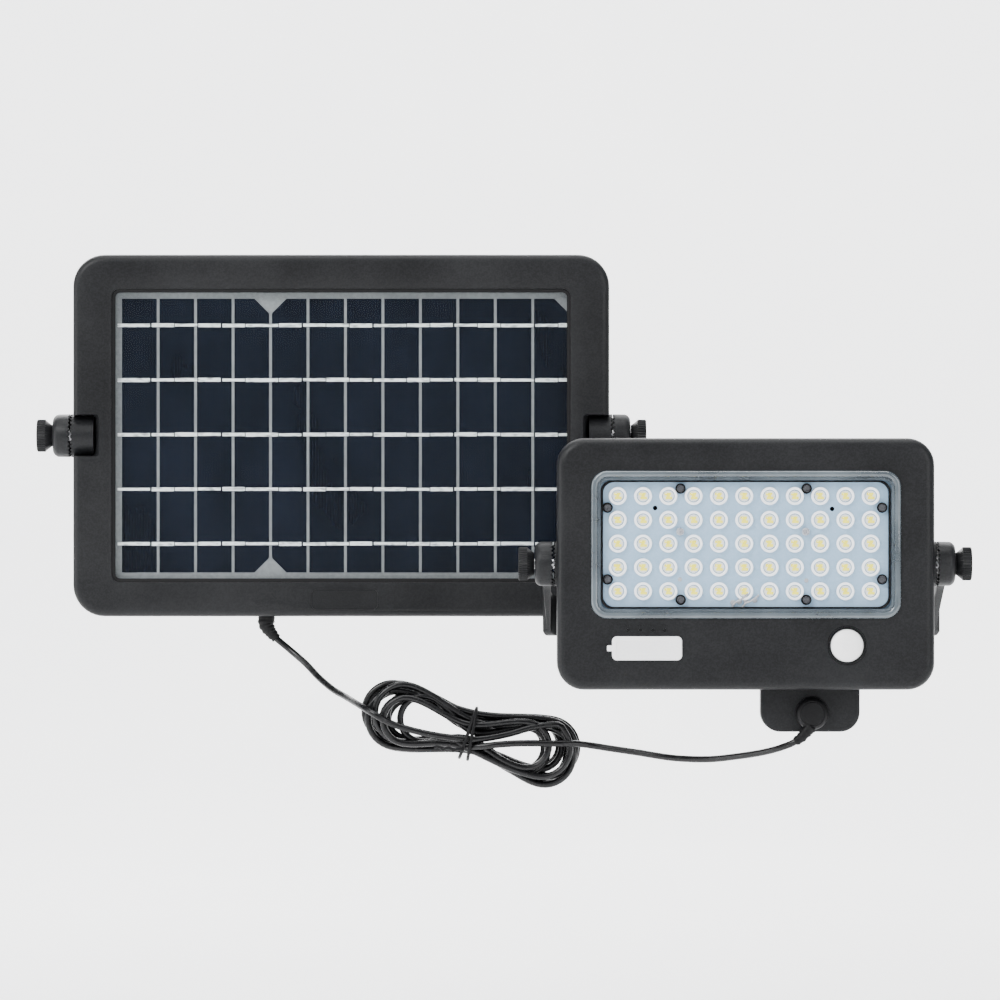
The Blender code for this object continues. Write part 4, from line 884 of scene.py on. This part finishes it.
def solar_cells():
    """Twelve strips of silicon on the film, and the tinned ribbons that run across them."""
    low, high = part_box("cell_layer")
    bm = bmesh.new()
    block(bm, (low[0], high[1] - FILM_T, low[2]), high)
    piece(link("cell_film", bm, BACKSHEET), "solar_panel", "cell_silicon", "cell_layer")
    front = low[1]
    first = CELL_X - STRIP_PITCH * (STRIPS - 1) / 2
    bm = bmesh.new()
    for k in range(STRIPS):
        x = first + k * STRIP_PITCH
        corners = cell_outline(x, -STRIP_H / 2, STRIP_H / 2, k == 4, k in (3, STRIPS - 1))
        face = bm.faces.new([bm.verts.new((px, front + 0.00005, pz)) for px, pz in corners])
        grown = bmesh.ops.extrude_face_region(bm, geom=[face])
        moved = [v for v in grown["geom"] if isinstance(v, bmesh.types.BMVert)]
        bmesh.ops.translate(bm, vec=(0, 0.00025, 0), verts=moved)
    piece(link("solar_strips", bm, SILICON), "solar_panel", "cell_silicon")
    bm = bmesh.new()
    right_end = first + STRIP_PITCH * (STRIPS - 1) + STRIP_W / 2
    left_end = -WINDOW_W / 2 + 0.0030
    for row in range(RIBBONS):
        z = (row - (RIBBONS - 1) / 2) * RIBBON_PITCH + 0.0006
        start = left_end
        stitch = 0
        while start < right_end - 0.001:
            run = RIBBON_RUN if stitch % 5 else RIBBON_LONG_RUN
            end = min(start + run, right_end + 0.0008)
            wander = 0.00012 * math.sin(37.0 * row + 5.1 * stitch)
            swell = 0.00016 * math.sin(11.0 * row + 2.3 * stitch)
            block(bm, (start, front - 0.00022, z + wander - RIBBON_W / 2 - swell),
                  (end, front + 0.0001, z + wander + RIBBON_W / 2 + swell))
            start = end + (0.0005 if stitch % 3 else 0.0010)
            stitch += 1
    piece(soften(link("cell_ribbons", bm, SOLDER), 0.00008, 1), "solar_panel", "zinc_steel")
    bm = bmesh.new()
    for row in range(STRIPS - 1):
        x = first + (row + 0.5) * STRIP_PITCH
        for side in (-1, 1):
            z = side * 0.0690
            block(bm, (x - 0.0005, front + 0.00028, z - 0.004), (x + 0.0005, front + 0.00034, z + 0.004))
    piece(link("film_marks", bm, BACKSHEET), "solar_panel", "backsheet")


def panel_back():
    """The back cover: a shallow dished plate with ribs, relieved round the ears, and its screws."""
    half = PANEL_W / 2
    rear = PANEL_REAR + GAP
    width, height, corner = PANEL_W - 0.0010, PANEL_H - 0.0010, PANEL_CORNER - 0.0005
    sections = [(width, height, corner, rear), (width, height, corner, rear + 0.0004, (0, 0))]
    sections += reversed(round_over(width, height, corner, rear + 0.0020, 0.0016, -1))
    sections += [
        (width - 0.016, height - 0.016, corner - 0.006, rear + 0.0020),
        (width - 0.018, height - 0.018, corner - 0.007, rear + 0.0012),
    ]
    made = loft("panel_back_moulded", sections, PLASTIC, PANEL_AT)
    for side in (-1, 1):
        low_x, high_x = sorted((side * (NOTCH_INNER - 0.0025), side * (half + 0.005)))
        combine(made, box_tool((low_x, 0.0, -0.0160), (high_x, 0.020, 0.0160), PANEL_AT))
    piece(smooth(made), "solar_panel", "black_plastic", "panel_back_cover")
    bm = bmesh.new()
    for k in range(9):
        x = (k - 4) * 0.028
        block(bm, (x - 0.0009, rear + 0.0010, -0.078), (x + 0.0009, rear + 0.0019, 0.078))
    ribs = soften(link("panel_back_ribs", bm, PLASTIC, PANEL_AT), 0.0004)
    piece(ribs, "solar_panel", "black_plastic")
    spots = [(x, z) for x in BACK_SCREW_X for z in BACK_SCREW_Z]
    screw_heads("panel_back_screws", spots, PANEL_AT, rear + 0.0019, "solar_panel", 0.0026)


def screw_heads(name, spots, at, y, body, radius):
    """Small cross-slotted heads that face the wall."""
    bm = bmesh.new()
    for x, z in spots:
        head = [(radius, y - 0.0006), (radius, y), (radius - 0.0004, y + 0.0003),
                (radius * 0.5, y + 0.00035), (radius * 0.5, y + 0.00005), (0.0, y + 0.00005)]
        spin(bm, head, "Y", (x, 0, z), 24)
        for width, height in ((radius * 1.3, 0.0004), (0.0004, radius * 1.3)):
            block(bm, (x - width / 2, y + 0.0001, z - height / 2),
                  (x + width / 2, y + 0.0004, z + height / 2))
    piece(smooth(link(name, bm, STEEL, at)), body, "zinc_steel")


def cable_boot():
    """The ribbed rubber boot that bends towards the hank."""
    top = Vector((BOOT_X, 0, -PANEL_H / 2 + 0.0060)) + PANEL_AT
    low = Vector((BOOT_X, 0, -PANEL_H / 2 - 0.0050)) + PANEL_AT
    end = Vector(LEFT_ROUTE[0])
    bow = low.lerp(end, 0.55) + Vector((-0.0007, 0, 0.0001))
    path = smooth_route([top, top.lerp(low, 0.6), low, bow, end], 0.0005)
    radii = []
    travelled = 0.0
    total = sum((b - a).length for a, b in zip(path, path[1:]))
    for k, point in enumerate(path):
        travelled += (point - path[k - 1]).length if k else 0.0
        share = travelled / total
        rib = 0.00045 if share > 0.42 and (travelled % 0.0022) < 0.0012 else 0.0
        radii.append((0.0039 if share < 0.30 else 0.0050 - 0.0027 * (share - 0.30) / 0.70) + rib)
    boot = tube("cable_boot_ribbed", path, radii, RUBBER, 24)
    piece(boot, "solar_panel", "black_rubber", "panel_cable_boot")


# ---------------------------------------------------------------- the flood light

def light_front():
    """The front housing: rounded edges, lamp window, charging recess, sensor and indicator holes, ears."""
    half = LIGHT_W / 2
    back = LIGHT_FRONT + LIGHT_WALL
    hole = (SKIRT_SIZE[0] + 2 * GAP, SKIRT_SIZE[1] + 2 * GAP, SKIRT_CORNER)
    middle = (0.0, COVER_Z)
    sections = [(*hole, back, middle), (*hole, LIGHT_FRONT, middle)]
    sections += shell(LIGHT_W, LIGHT_H, LIGHT_CORNER, LIGHT_WALL, LIGHT_FRONT, LIGHT_REAR, LIGHT_EDGE, 8)
    made = loft("light_front_moulded", sections, PLASTIC, LIGHT_AT, ring=True)
    for side in (-1, 1):
        ear(made, side, half, half - 0.0110, LIGHT_AT)
    port_x, port_z = PORT_AT
    port_w, port_h = PORT_SIZE
    floor = LIGHT_FRONT + PORT_DEPTH
    pocket = box_tool((port_x - port_w / 2 - 0.002, back - 0.001, port_z - port_h / 2 - 0.002),
                      (port_x + port_w / 2 + 0.002, floor + 0.002, port_z + port_h / 2 + 0.002), LIGHT_AT)
    combine(made, pocket, "UNION")
    combine(made, loft("tool", [(port_w, port_h, 0.002, y, PORT_AT) for y in (LIGHT_FRONT - 0.005, floor)],
                       PLASTIC, LIGHT_AT, steps=5))
    combine(made, drill([(BUTTON_X, port_z)], BUTTON_R + GAP, floor - 0.001, floor + 0.005, LIGHT_AT))
    combine(made, drill([PIR_AT], PIR_R + 0.0015, LIGHT_FRONT - 0.005, 0.0, LIGHT_AT, 64))
    spots = [(x, INDICATOR_Z) for x in INDICATOR_X]
    combine(made, drill(spots, 0.0010, LIGHT_FRONT - 0.005, back + 0.005, LIGHT_AT, 20))
    piece(smooth(made, 34), "flood_light", "black_plastic", "light_front_housing")
    bm = bmesh.new()
    for x in INDICATOR_X:
        for k in range(3):
            left = x - 0.0019 + 0.0014 * k
            block(bm, (left, LIGHT_FRONT - 0.00012, INDICATOR_Z + 0.0022),
                  (left + 0.0009, LIGHT_FRONT + 0.0002, INDICATOR_Z + 0.0029))
    ticks = soften(link("indicator_ticks", bm, PLASTIC_FINE, LIGHT_AT), 0.00005, 1)
    piece(ticks, "flood_light", "black_plastic")


def light_rear():
    """The rear housing with the battery box and the rounded lug, the door with its ribs, and the screws."""
    back = LIGHT_REAR + GAP
    out_w, out_h = LIGHT_W - 0.0010, LIGHT_H - 0.0010
    box_w, box_h = BOX_SIZE
    plate = reversed(round_over(out_w, out_h, LIGHT_CORNER - 0.0005, back + 0.0032, 0.0024, -1))
    box_edge = reversed(round_over(box_w, box_h, 0.010, BOX_REAR - 0.0030, 0.0012, -1, steps=4))
    sections = [
        (box_w - 0.005, box_h - 0.005, 0.008, BOX_REAR - 0.0070),
        (box_w - 0.005, box_h - 0.005, 0.008, back),
        (out_w, out_h, LIGHT_CORNER - 0.0005, back),
        *plate,
        (box_w + 0.0030, box_h + 0.0030, 0.0115, back + 0.0032),
        (box_w + 0.0008, box_h + 0.0008, 0.0104, back + 0.0040),
        *box_edge,
        (box_w - 0.0115, box_h - 0.0115, 0.005, BOX_REAR - 0.0030),
        (box_w - 0.0115, box_h - 0.0115, 0.005, BOX_REAR - 0.0055),
        (box_w - 0.0175, box_h - 0.0175, 0.003, BOX_REAR - 0.0055),
        (box_w - 0.0175, box_h - 0.0175, 0.003, BOX_REAR - 0.0070),
    ]
    made = loft("light_rear_moulded", sections, PLASTIC, LIGHT_AT, ring=True)
    lug_w = LUG_X[1] - LUG_X[0]
    lug_mid = (sum(LUG_X) / 2, LUG_BOTTOM + 0.0255)
    lug_sections = round_over(lug_w, 0.0510, LUG_CORNER, LUG_FRONT, 0.0014, 1, lug_mid)
    lug_sections.append((lug_w, 0.0510, LUG_CORNER, back + 0.0025, lug_mid))
    lug = loft("tool", lug_sections, PLASTIC, LIGHT_AT)
    combine(lug, box_tool((LUG_X[0] - 0.01, LUG_FRONT - 0.01, -LIGHT_H / 2 - 0.0004),
                          (LUG_X[1] + 0.01, back, LUG_BOTTOM + 0.06), LIGHT_AT))
    combine(made, lug, "UNION")
    piece(smooth(made, 34), "flood_light", "black_plastic", "light_rear_housing")
    door_w, door_h = box_w - 0.0121, box_h - 0.0121
    door_edge = reversed(round_over(door_w, door_h, 0.0047, BOX_REAR - 0.0002, 0.0008, -1, steps=4))
    door = loft("battery_door_moulded", [(door_w, door_h, 0.0047, BOX_REAR - 0.0052, (0, 0)), *door_edge],
                PLASTIC, LIGHT_AT)
    combine(door, drill(REAR_SCREW_SPOTS, 0.0017, BOX_REAR - 0.010, BOX_REAR + 0.002, LIGHT_AT, 24))
    piece(smooth(door), "flood_light", "black_plastic", "battery_door")
    bm = bmesh.new()
    for k in range(7):
        z = (k - 3) * 0.0062
        block(bm, (-0.030, BOX_REAR - 0.0004, z - 0.0007), (0.030, BOX_REAR + 0.0004, z + 0.0007))
    piece(soften(link("battery_door_ribs", bm, PLASTIC, LIGHT_AT), 0.0003), "flood_light", "black_plastic")
    screw_heads("rear_housing_screws", [(x, z) for x in (-0.092, 0.092) for z in (-0.056, 0.056)], LIGHT_AT,
                back + 0.0031, "flood_light", 0.0026)


def lens_cover():
    """The clear cover: a flat pane inside a raised, rounded, glossy rim, with its skirt behind."""
    cover_w, cover_h = COVER_SIZE
    skirt_w, skirt_h = SKIRT_SIZE
    middle = (0.0, COVER_Z)
    seat = LIGHT_FRONT - GAP
    outer = round_over(cover_w, cover_h, COVER_CORNER, seat - 0.0018, 0.0016, 1, middle)
    inner_w, inner_h, inner_r = cover_w - 2 * COVER_RIM, cover_h - 2 * COVER_RIM, COVER_CORNER - 0.0030
    sections = [
        (inner_w, inner_h, inner_r, seat, middle),
        (inner_w, inner_h, inner_r, seat - 0.0010, middle),
        (inner_w + 0.0006, inner_h + 0.0006, inner_r + 0.0003, seat - 0.0015, middle),
        (inner_w + 0.0018, inner_h + 0.0018, inner_r + 0.0009, seat - 0.0018, middle),
        *outer, (cover_w, cover_h, COVER_CORNER, seat, middle),
        (skirt_w, skirt_h, SKIRT_CORNER, seat, middle),
        (skirt_w, skirt_h, SKIRT_CORNER, LIGHT_FRONT + 0.0050, middle),
        (skirt_w - 0.0034, skirt_h - 0.0034, 0.0043, LIGHT_FRONT + 0.0050, middle),
        (skirt_w - 0.0034, skirt_h - 0.0034, 0.0043, seat, middle),
    ]
    rim = loft("cover_rim", sections, COVER_EDGE, LIGHT_AT, ring=True)
    piece(rim, "flood_light", "clear_plastic", "lens_cover")
    pane = loft("cover_pane", [
        (inner_w - 0.0002, inner_h - 0.0002, inner_r, seat - 0.0009, middle),
        (inner_w - 0.0002, inner_h - 0.0002, inner_r, seat - 0.0001, middle),
    ], COVER, LIGHT_AT)
    piece(pane, "flood_light", "clear_plastic")
    lip = LIGHT_FRONT + BOARD_BEHIND
    band = loft("lamp_frame", [
        (*BOARD_SEEN, 0.0060, lip - 0.0003, middle), (*BOARD_SEEN, 0.0060, lip - 0.0008, middle),
        (0.1577, 0.0693, 0.0064, lip - 0.0013, middle), (0.1595, 0.0705, 0.0060, lip - 0.0013, middle),
        (0.1595, 0.0705, 0.0060, lip - 0.0003, middle),
    ], PLASTIC_FINE, LIGHT_AT, ring=True)
    piece(band, "flood_light", "black_plastic")


def lamp_places():
    """The lamps' places in X and Z."""
    return [(LED_AT[0] + (column - (LED_COLUMNS - 1) / 2) * LED_PITCH[0],
             LED_AT[1] + (row - (LED_ROWS - 1) / 2) * LED_PITCH[1])
            for column in range(LED_COLUMNS) for row in range(LED_ROWS)]


def lamps():
    """The lamps: white package, yellow chip in three blocks, and a clear dome in a white rim."""
    front = LIGHT_FRONT + BOARD_BEHIND
    chips = bmesh.new()
    packages = bmesh.new()
    rims = bmesh.new()
    lenses = bmesh.new()
    plate = front - GAP - 0.0004
    inner = LENS_R - LENS_RIM_T
    rim = [(LENS_R, plate + 0.0004), (LENS_R, plate - 0.0008), (LENS_R - 0.0003, plate - 0.0012),
           (inner + 0.0003, plate - 0.0012), (inner, plate - 0.0009), (inner, plate + 0.0004)]
    dome = [(inner - 0.0004, plate + 0.0004), (inner - 0.0004, plate - 0.0010)]
    for step in range(1, 6):
        angle = math.pi / 2 * step / 5
        dome.append(((inner - 0.0004) * math.cos(angle), plate - 0.0010 - 0.0018 * math.sin(angle)))
    dome[-1] = (0.0, dome[-1][1])
    for x, z in lamp_places():
        spin(packages, [(0.0, front - 0.00012), (inner - 0.0005, front - 0.00012), (inner - 0.0005, front)],
             "Y", (x, 0, z), 20)
        for left, right, low, high, proud in CHIP_BLOCKS:
            block(chips, (x + left, front - proud, z + low), (x + right, front - 0.0001, z + high))
        spin(rims, rim, "Y", (x, 0, z), 28, closed=True)
        spin(lenses, dome, "Y", (x, 0, z), 28)
    piece(link("lamp_packages", packages, PACKAGE_PAINTED_GLOW, LIGHT_AT), "flood_light", "board_white")
    piece(link("lamp_chips", chips, PHOSPHOR, LIGHT_AT), "flood_light", "board_white")
    piece(smooth(link("lamp_lens_rims", rims, LENS_RIM_PAINTED_GLOW, LIGHT_AT), 50), "flood_light", "clear_plastic")
    domes = smooth(link("lamp_lenses", lenses, LENS, LIGHT_AT), 50)
    piece(domes, "flood_light", "clear_plastic", "led_lens_plate")


def lamp_board():
    """The board with its dark holes, marks, ringed screws, and the wires that come through its notch."""
    front = LIGHT_FRONT + BOARD_BEHIND
    middle = (0.0, COVER_Z)
    board_w, board_h = BOARD_SIZE
    made = loft("lamp_board_drilled", [
        (board_w, board_h, 0.008, front, middle), (board_w, board_h, 0.008, front + 0.0016, middle),
    ], BOARD, LIGHT_AT)
    combine(made, drill(BOARD_HOLES, 0.0013, front - 0.001, front + 0.004, LIGHT_AT))
    combine(made, drill(SCREW_SPOTS + BOARD_SCREW_SPOTS, 0.0016, front - 0.002, front + 0.004, LIGHT_AT, 20))
    piece(smooth(made), "flood_light", "board_white", "led_board")
    rings = bmesh.new()
    for x, z in SCREW_SPOTS:
        ring = [(0.0013, front - 0.0024), (0.0029, front - 0.0024),
                (0.0029, front - 0.0001), (0.0013, front - 0.0001)]
        spin(rings, ring, "Y", (x, 0, z), 28, closed=True)
    piece(smooth(link("screw_rings", rings, RUBBER, LIGHT_AT)), "flood_light", "black_rubber")
    dots = bmesh.new()
    for x, z in BOARD_DOTS:
        spin(dots, [(0.0, front - 0.0003), (0.0011, front - 0.0003), (0.0012, front)], "Y", (x, 0, z), 20)
    for k, x in enumerate((-0.0070, -0.0035, 0.0002, 0.0050)):
        spin(dots, [(0.0, front - 0.0005), (0.0012, front - 0.0005), (0.0015, front)], "Y",
             (x, 0, -0.0212 + 0.0004 * k), 16)
    piece(smooth(link("board_marks", dots, WIRE, LIGHT_AT)), "flood_light", "zinc_steel")
    wires = (((-0.0075, -0.0235), (0.0010, -0.0165)), ((-0.0020, -0.0240), (0.0070, -0.0172)))
    for k, ((x, z), (end_x, end_z)) in enumerate(wires):
        points = [Vector((x, front - 0.0004, z)), Vector((x + 0.002, front - 0.0016, z + 0.0025)),
                  Vector(((x + end_x) / 2, front - 0.0020, (z + end_z) / 2)),
                  Vector((end_x - 0.001, front - 0.0014, end_z - 0.0010)),
                  Vector((end_x, front - 0.0003, end_z))]
        path = [p + LIGHT_AT for p in smooth_route(points, 0.0005)]
        piece(tube(f"lamp_wire_{k + 1}", path, 0.00055, WIRE, 10), "flood_light", "zinc_steel")


def sensor():
    """The milky sensor lens with its faceted inside, and the black ring round it."""
    face = -LIGHT_FRONT
    x, z = PIR_AT
    profile = [(0.0, face + 0.0045)]
    for step in range(1, 13):
        angle = math.pi / 2 * step / 12
        facet = 0.00010 if step % 3 == 1 else 0.0
        profile.append((PIR_R * math.sin(angle), face + 0.0005 + 0.0040 * math.cos(angle) - facet))
    profile += [(PIR_R, face - 0.0035), (PIR_R - 0.0012, face - 0.0035),
                (PIR_R - 0.0012, face + 0.0005), (0.0, face + 0.0030)]
    place = Vector((x, 0, z)) + LIGHT_AT
    lens = turned("sensor_lens", profile, SENSOR_WHITE, "-Y", place, 64)
    piece(lens, "flood_light", "sensor_white", "sensor_dome")
    ring = [(0.0092, face + 0.0010), (0.0095, face + 0.0013),
            (0.0100, face + 0.0013), (0.0103, face + 0.0009),
            (0.0103, face - 0.0040), (0.0092, face - 0.0040)]
    bezel = turned("sensor_bezel", ring, PLASTIC_FINE, "-Y", place, 64, closed=True)
    piece(bezel, "flood_light", "black_plastic", "sensor_ring")


def charging_flap():
    """The white rubber flap: crowned plate, raised outline, plug lip and strap."""
    width, height = PORT_COVER_SIZE
    lip_w, lip_h = PORT_SIZE[0] - 0.0008, PORT_SIZE[1] - 0.0008
    seat = LIGHT_FRONT - GAP
    face = reversed(round_over(width, height, 0.0027, seat - 0.0014, 0.0009, 1, PORT_AT, 5))
    made = loft("port_flap", [
        (lip_w - 0.002, lip_h - 0.002, 0.001, seat - 0.0004, PORT_AT),
        (lip_w - 0.002, lip_h - 0.002, 0.001, seat + 0.0030, PORT_AT),
        (lip_w, lip_h, 0.0018, seat + 0.0030, PORT_AT), (lip_w, lip_h, 0.0018, seat, PORT_AT),
        (width, height, 0.0027, seat, PORT_AT), *face,
        (width - 0.0046, height - 0.0046, 0.0016, seat - 0.0014, PORT_AT),
        (width - 0.0050, height - 0.0050, 0.0014, seat - 0.0011, PORT_AT),
    ], WHITE_RUBBER, LIGHT_AT, steps=6)
    x, z = PORT_AT
    strap = box_tool((TETHER_END, seat - 0.0009, z - 0.0016),
                     (x - width / 2 + 0.001, seat - 0.0001, z + 0.0016), LIGHT_AT)
    combine(made, soften(strap, 0.0004), "UNION")
    ridge = loft("tool", [(0.0300, 0.0008, 0.00039, y, PORT_AT) for y in (seat - 0.0013, seat - 0.0009)],
                 WHITE_RUBBER, LIGHT_AT, steps=4)
    combine(made, ridge, "UNION")
    piece(smooth(made), "charging_flap", "white_rubber", "port_cover")


def cord_plug():
    """The round plug on the lug: domed cap with a groove, and a ribbed neck that the cable leaves by."""
    back = -LUG_FRONT + GAP
    x, z = PLUG_AT
    place = Vector((x, 0, z)) + LIGHT_AT
    profile = [(0.0, back + 0.0088), (0.0040, back + 0.0087), (0.0062, back + 0.0084),
               (0.0066, back + 0.0079), (0.0070, back + 0.0080), (0.0080, back + 0.0072),
               (0.0087, back + 0.0060), (PLUG_R, back + 0.0046), (PLUG_R, back),
               (0.0024, back), (0.0024, back - 0.0070), (0.0, back - 0.0070)]
    made = turned("cable_plug", profile, RUBBER, "-Y", place, 64)
    end = Vector(RIGHT_ROUTE[-1])
    before = Vector(RIGHT_ROUTE[-2])
    start = Vector((x - 0.0008, RIGHT_ROUTE[-1][1] - LIGHT_AT.y, z - 0.0073)) + LIGHT_AT
    path = smooth_route([start, start.lerp(end, 0.5), end, before.lerp(end, 0.35)], 0.0004)
    radii = [0.0034 - 0.0011 * k / (len(path) - 1) + (0.0003 if k % 5 < 2 else 0.0) for k in range(len(path))]
    combine(made, tube("tool", path, radii, RUBBER, 24), "UNION")
    return piece(smooth(made, 40), "flood_light", "black_rubber", "cord_plug")


# ---------------------------------------------------------------- the cable

def hank_point(along, across, depth):
    """A point of the hank's own space, which tilts down to the right."""
    x = along * math.cos(HANK_TILT) + across * math.sin(HANK_TILT)
    z = -along * math.sin(HANK_TILT) + across * math.cos(HANK_TILT)
    return HANK_AT + Vector((x, depth, z))


def ease(share):
    """A smooth step from 0 to 1."""
    share = min(1.0, max(0.0, share))
    return share * share * (3 - 2 * share)


# Each layer of the hank, from the front to the wall: its turn in the hank's plane in degrees, its shift
# along the hank, how far its strands stand apart where the tie pinches them, and where the middles of
# its lobes are.
LAYERS = (
    (2.4, -0.0022, (0.0114, 0.0050), (0.0432, 0.0345)),
    (-3.0, 0.0024, (0.0074, 0.0012), (0.0415, 0.0300)),
    (2.8, 0.0010, (0.0116, 0.0062), (0.0432, 0.0385)),
    (-1.6, -0.0026, (0.0082, 0.0026), (0.0425, 0.0325)),
    (3.6, 0.0020, (0.0112, 0.0050), (0.0432, 0.0360)),
    (-2.2, 0.0000, (0.0100, 0.0040), (0.0420, 0.0340)),
)
LOOPS = ((0, 0), (0, 1), (1, 1), (1, 0), (2, 0), (2, 1), (3, 1), (3, 0), (4, 0), (4, 1), (5, 0))


def loop_facts(loop):
    """Lobe radius, pinched half-width, depth, turn, shift and reach of one turn of the hank."""
    layer, ring = loop
    turn, shift, pinch, reach = LAYERS[layer]
    depth = (layer - 2.5) * LAYER_STEP
    return (LOBE_R[ring], pinch[ring], depth, math.radians(turn), shift, reach[ring])


def on_loop(facts, phase):
    """A point at a phase from 0 to 1: over the top from left to right, round, and back underneath."""
    lobe, pinch, depth, turn, shift, reach = facts
    straight = 2 * reach
    curve = math.pi * lobe
    whole = 2 * (straight + curve)
    travel = phase * whole
    if travel < straight:
        along = -reach + travel
        across = pinch + (lobe - pinch) * ease(abs(along) / reach)
    elif travel < straight + curve:
        angle = math.pi / 2 - (travel - straight) / lobe
        along, across = reach + lobe * math.cos(angle), lobe * math.sin(angle)
    elif travel < 2 * straight + curve:
        along = reach - (travel - straight - curve)
        across = -(pinch + (lobe - pinch) * ease(abs(along) / reach))
    else:
        angle = -math.pi / 2 - (travel - 2 * straight - curve) / lobe
        along, across = -reach + lobe * math.cos(angle), lobe * math.sin(angle)
    along += shift
    turned_along = along * math.cos(turn) - across * math.sin(turn)
    turned_across = along * math.sin(turn) + across * math.cos(turn)
    return hank_point(turned_along, turned_across, depth)


def hank_turns():
    """The turns of the hank: each passes into the next along its lower run."""
    points = []
    steps = 56
    for k, loop in enumerate(LOOPS):
        facts = loop_facts(loop)
        after = loop_facts(LOOPS[min(k + 1, len(LOOPS) - 1)])
        last = steps if k < len(LOOPS) - 1 else steps * 56 // 100
        for step in range(last):
            phase = step / steps
            share = ease((phase - 0.50) / 0.31)
            mixed = tuple(a + (b - a) * share for a, b in zip(facts, after))
            points.append(on_loop(mixed, phase))
    return points


def cable():
    """The cable: one length from the panel's boot through the hank, one over the hank to the plug."""
    turns = hank_turns()
    entry = ((-0.0580, -0.0012, -0.0120), (-0.0440, -0.0050, -0.0132), (-0.0280, -0.0058, -0.0132),
             (-0.0120, -0.0048, -0.0130), (0.0040, -0.0022, -0.0118), (0.0200, 0.0045, -0.0100),
             (0.0330, 0.0118, -0.0092))
    lead_in = [Vector(p) for p in LEFT_ROUTE[:-1]] + [hank_point(*p) for p in entry]
    joined = smooth_route(lead_in + turns[19:], 0.0026)
    first = tube("cable_and_hank", joined, CORD_R, SHEATH)
    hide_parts("cord_to_panel", "cord_hank")
    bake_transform(first)
    leaving = ((-0.0070, -0.0060, -0.0085), (0.0005, -0.0068, -0.0104), (0.0080, -0.0052, -0.0128),
               (0.0160, -0.0022, -0.0138), (0.0260, 0.0010, -0.0140), (0.0360, 0.0036, -0.0136),
               (0.0480, 0.0064, -0.0128),
               (0.0580, 0.0088, -0.0108))
    over = [hank_point(*p) for p in leaving] + [Vector(p) for p in RIGHT_ROUTE]
    second_path = smooth_route(over, 0.0026)
    second = tube("cable_to_light", second_path, CORD_R, SHEATH)
    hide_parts("cord_to_light")
    plug = cord_plug()
    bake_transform(second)
    tie = cable_tie()


def cable_tie():
    """The twist tie: two turns of thin wire round the hank, and its twisted tail."""
    half_d = 0.0142
    middle_d = -0.0020
    half_w = 0.0116 + CORD_R + 0.0012
    parts = []
    for offset, lean in ((-0.0011, 0.0014), (0.0013, -0.0010)):
        points = []
        for step in range(40):
            angle = 2 * math.pi * step / 40
            across = half_w * math.copysign(abs(math.sin(angle)) ** 0.75, math.sin(angle))
            depth = middle_d + half_d * math.copysign(abs(math.cos(angle)) ** 0.75, math.cos(angle))
            points.append(hank_point(offset + lean * math.sin(angle), across, depth))
        parts.append(points + [points[0]])
    tail = []
    for step in range(26):
        share = step / 25
        twist = share * 5 * math.pi
        tail.append(hank_point(-0.0020 - 0.0150 * share + 0.0007 * math.cos(twist),
                               -0.0100 - 0.0020 * share + 0.0007 * math.sin(twist),
                               middle_d - half_d - 0.0009 - 0.0012 * math.sin(math.pi * share)))
    made = tube("cable_tie", parts[0], 0.0009, RUBBER, 10)
    for points in (parts[1], tail):
        combine(made, tube("tool", points, 0.0009, RUBBER, 10), "UNION")
    return piece(smooth(made, 50), "wall_brackets", "black_rubber", "cord_tie")


# ---------------------------------------------------------------- what stays from the frame

KEPT = {
    "panel_seal": RUBBER, "panel_glass": GLASS, "panel_backsheet": BACKSHEET,
    "panel_junction_box": PLASTIC_FINE, "panel_insert_left": BRASS, "panel_insert_right": BRASS,
    "light_insert_left": BRASS, "light_insert_right": BRASS, "cover_seal": RUBBER,
    "motion_sensor": STEEL, "sensor_board": BOARD_GREEN, "charge_port": STEEL,
    "power_button": RUBBER, "control_board": BOARD_GREEN, "indicator_light_pipes": PLASTIC_FINE,
    "battery_cell_1": WRAP, "battery_cell_2": WRAP, "cord_socket": BRASS,
}


def dress_kept_nodes():
    """Gives each CAD node that is still shown its finish."""
    for name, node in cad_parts.items():
        finish = KEPT.get(name)
        if finish is None and ("screw" in name or "stud" in name):
            finish = DARK_STEEL if name.startswith("lens_plate_screw") else STEEL
        if finish:
            for spot in node.material_slots:
                spot.material = finish


make_camera()
cable()
make_studio()
panel_frame()
solar_cells()
panel_back()
cable_boot()
light_front()
light_rear()
lens_cover()
lamps()
lamp_board()
sensor()
charging_flap()
bracket("panel_bracket", PANEL_W / 2, -PANEL_AT.y, 0.0, 0.0, PANEL_AT, "wall_brackets")
bracket("light_bracket", LIGHT_W / 2, LIGHT_BRACKET_DEPTH, LIGHT_BRACKET_DROP, 0.0030, LIGHT_AT,
        "wall_brackets")
for unit, half_width, place in (("panel", PANEL_W / 2, PANEL_AT), ("light", LIGHT_W / 2, LIGHT_AT)):
    for hand, side in (("left", -1), ("right", 1)):
        knob(f"{unit}_{hand}_knob", side, half_width, place, f"{unit}_{hand}_clamp")
dress_kept_nodes()
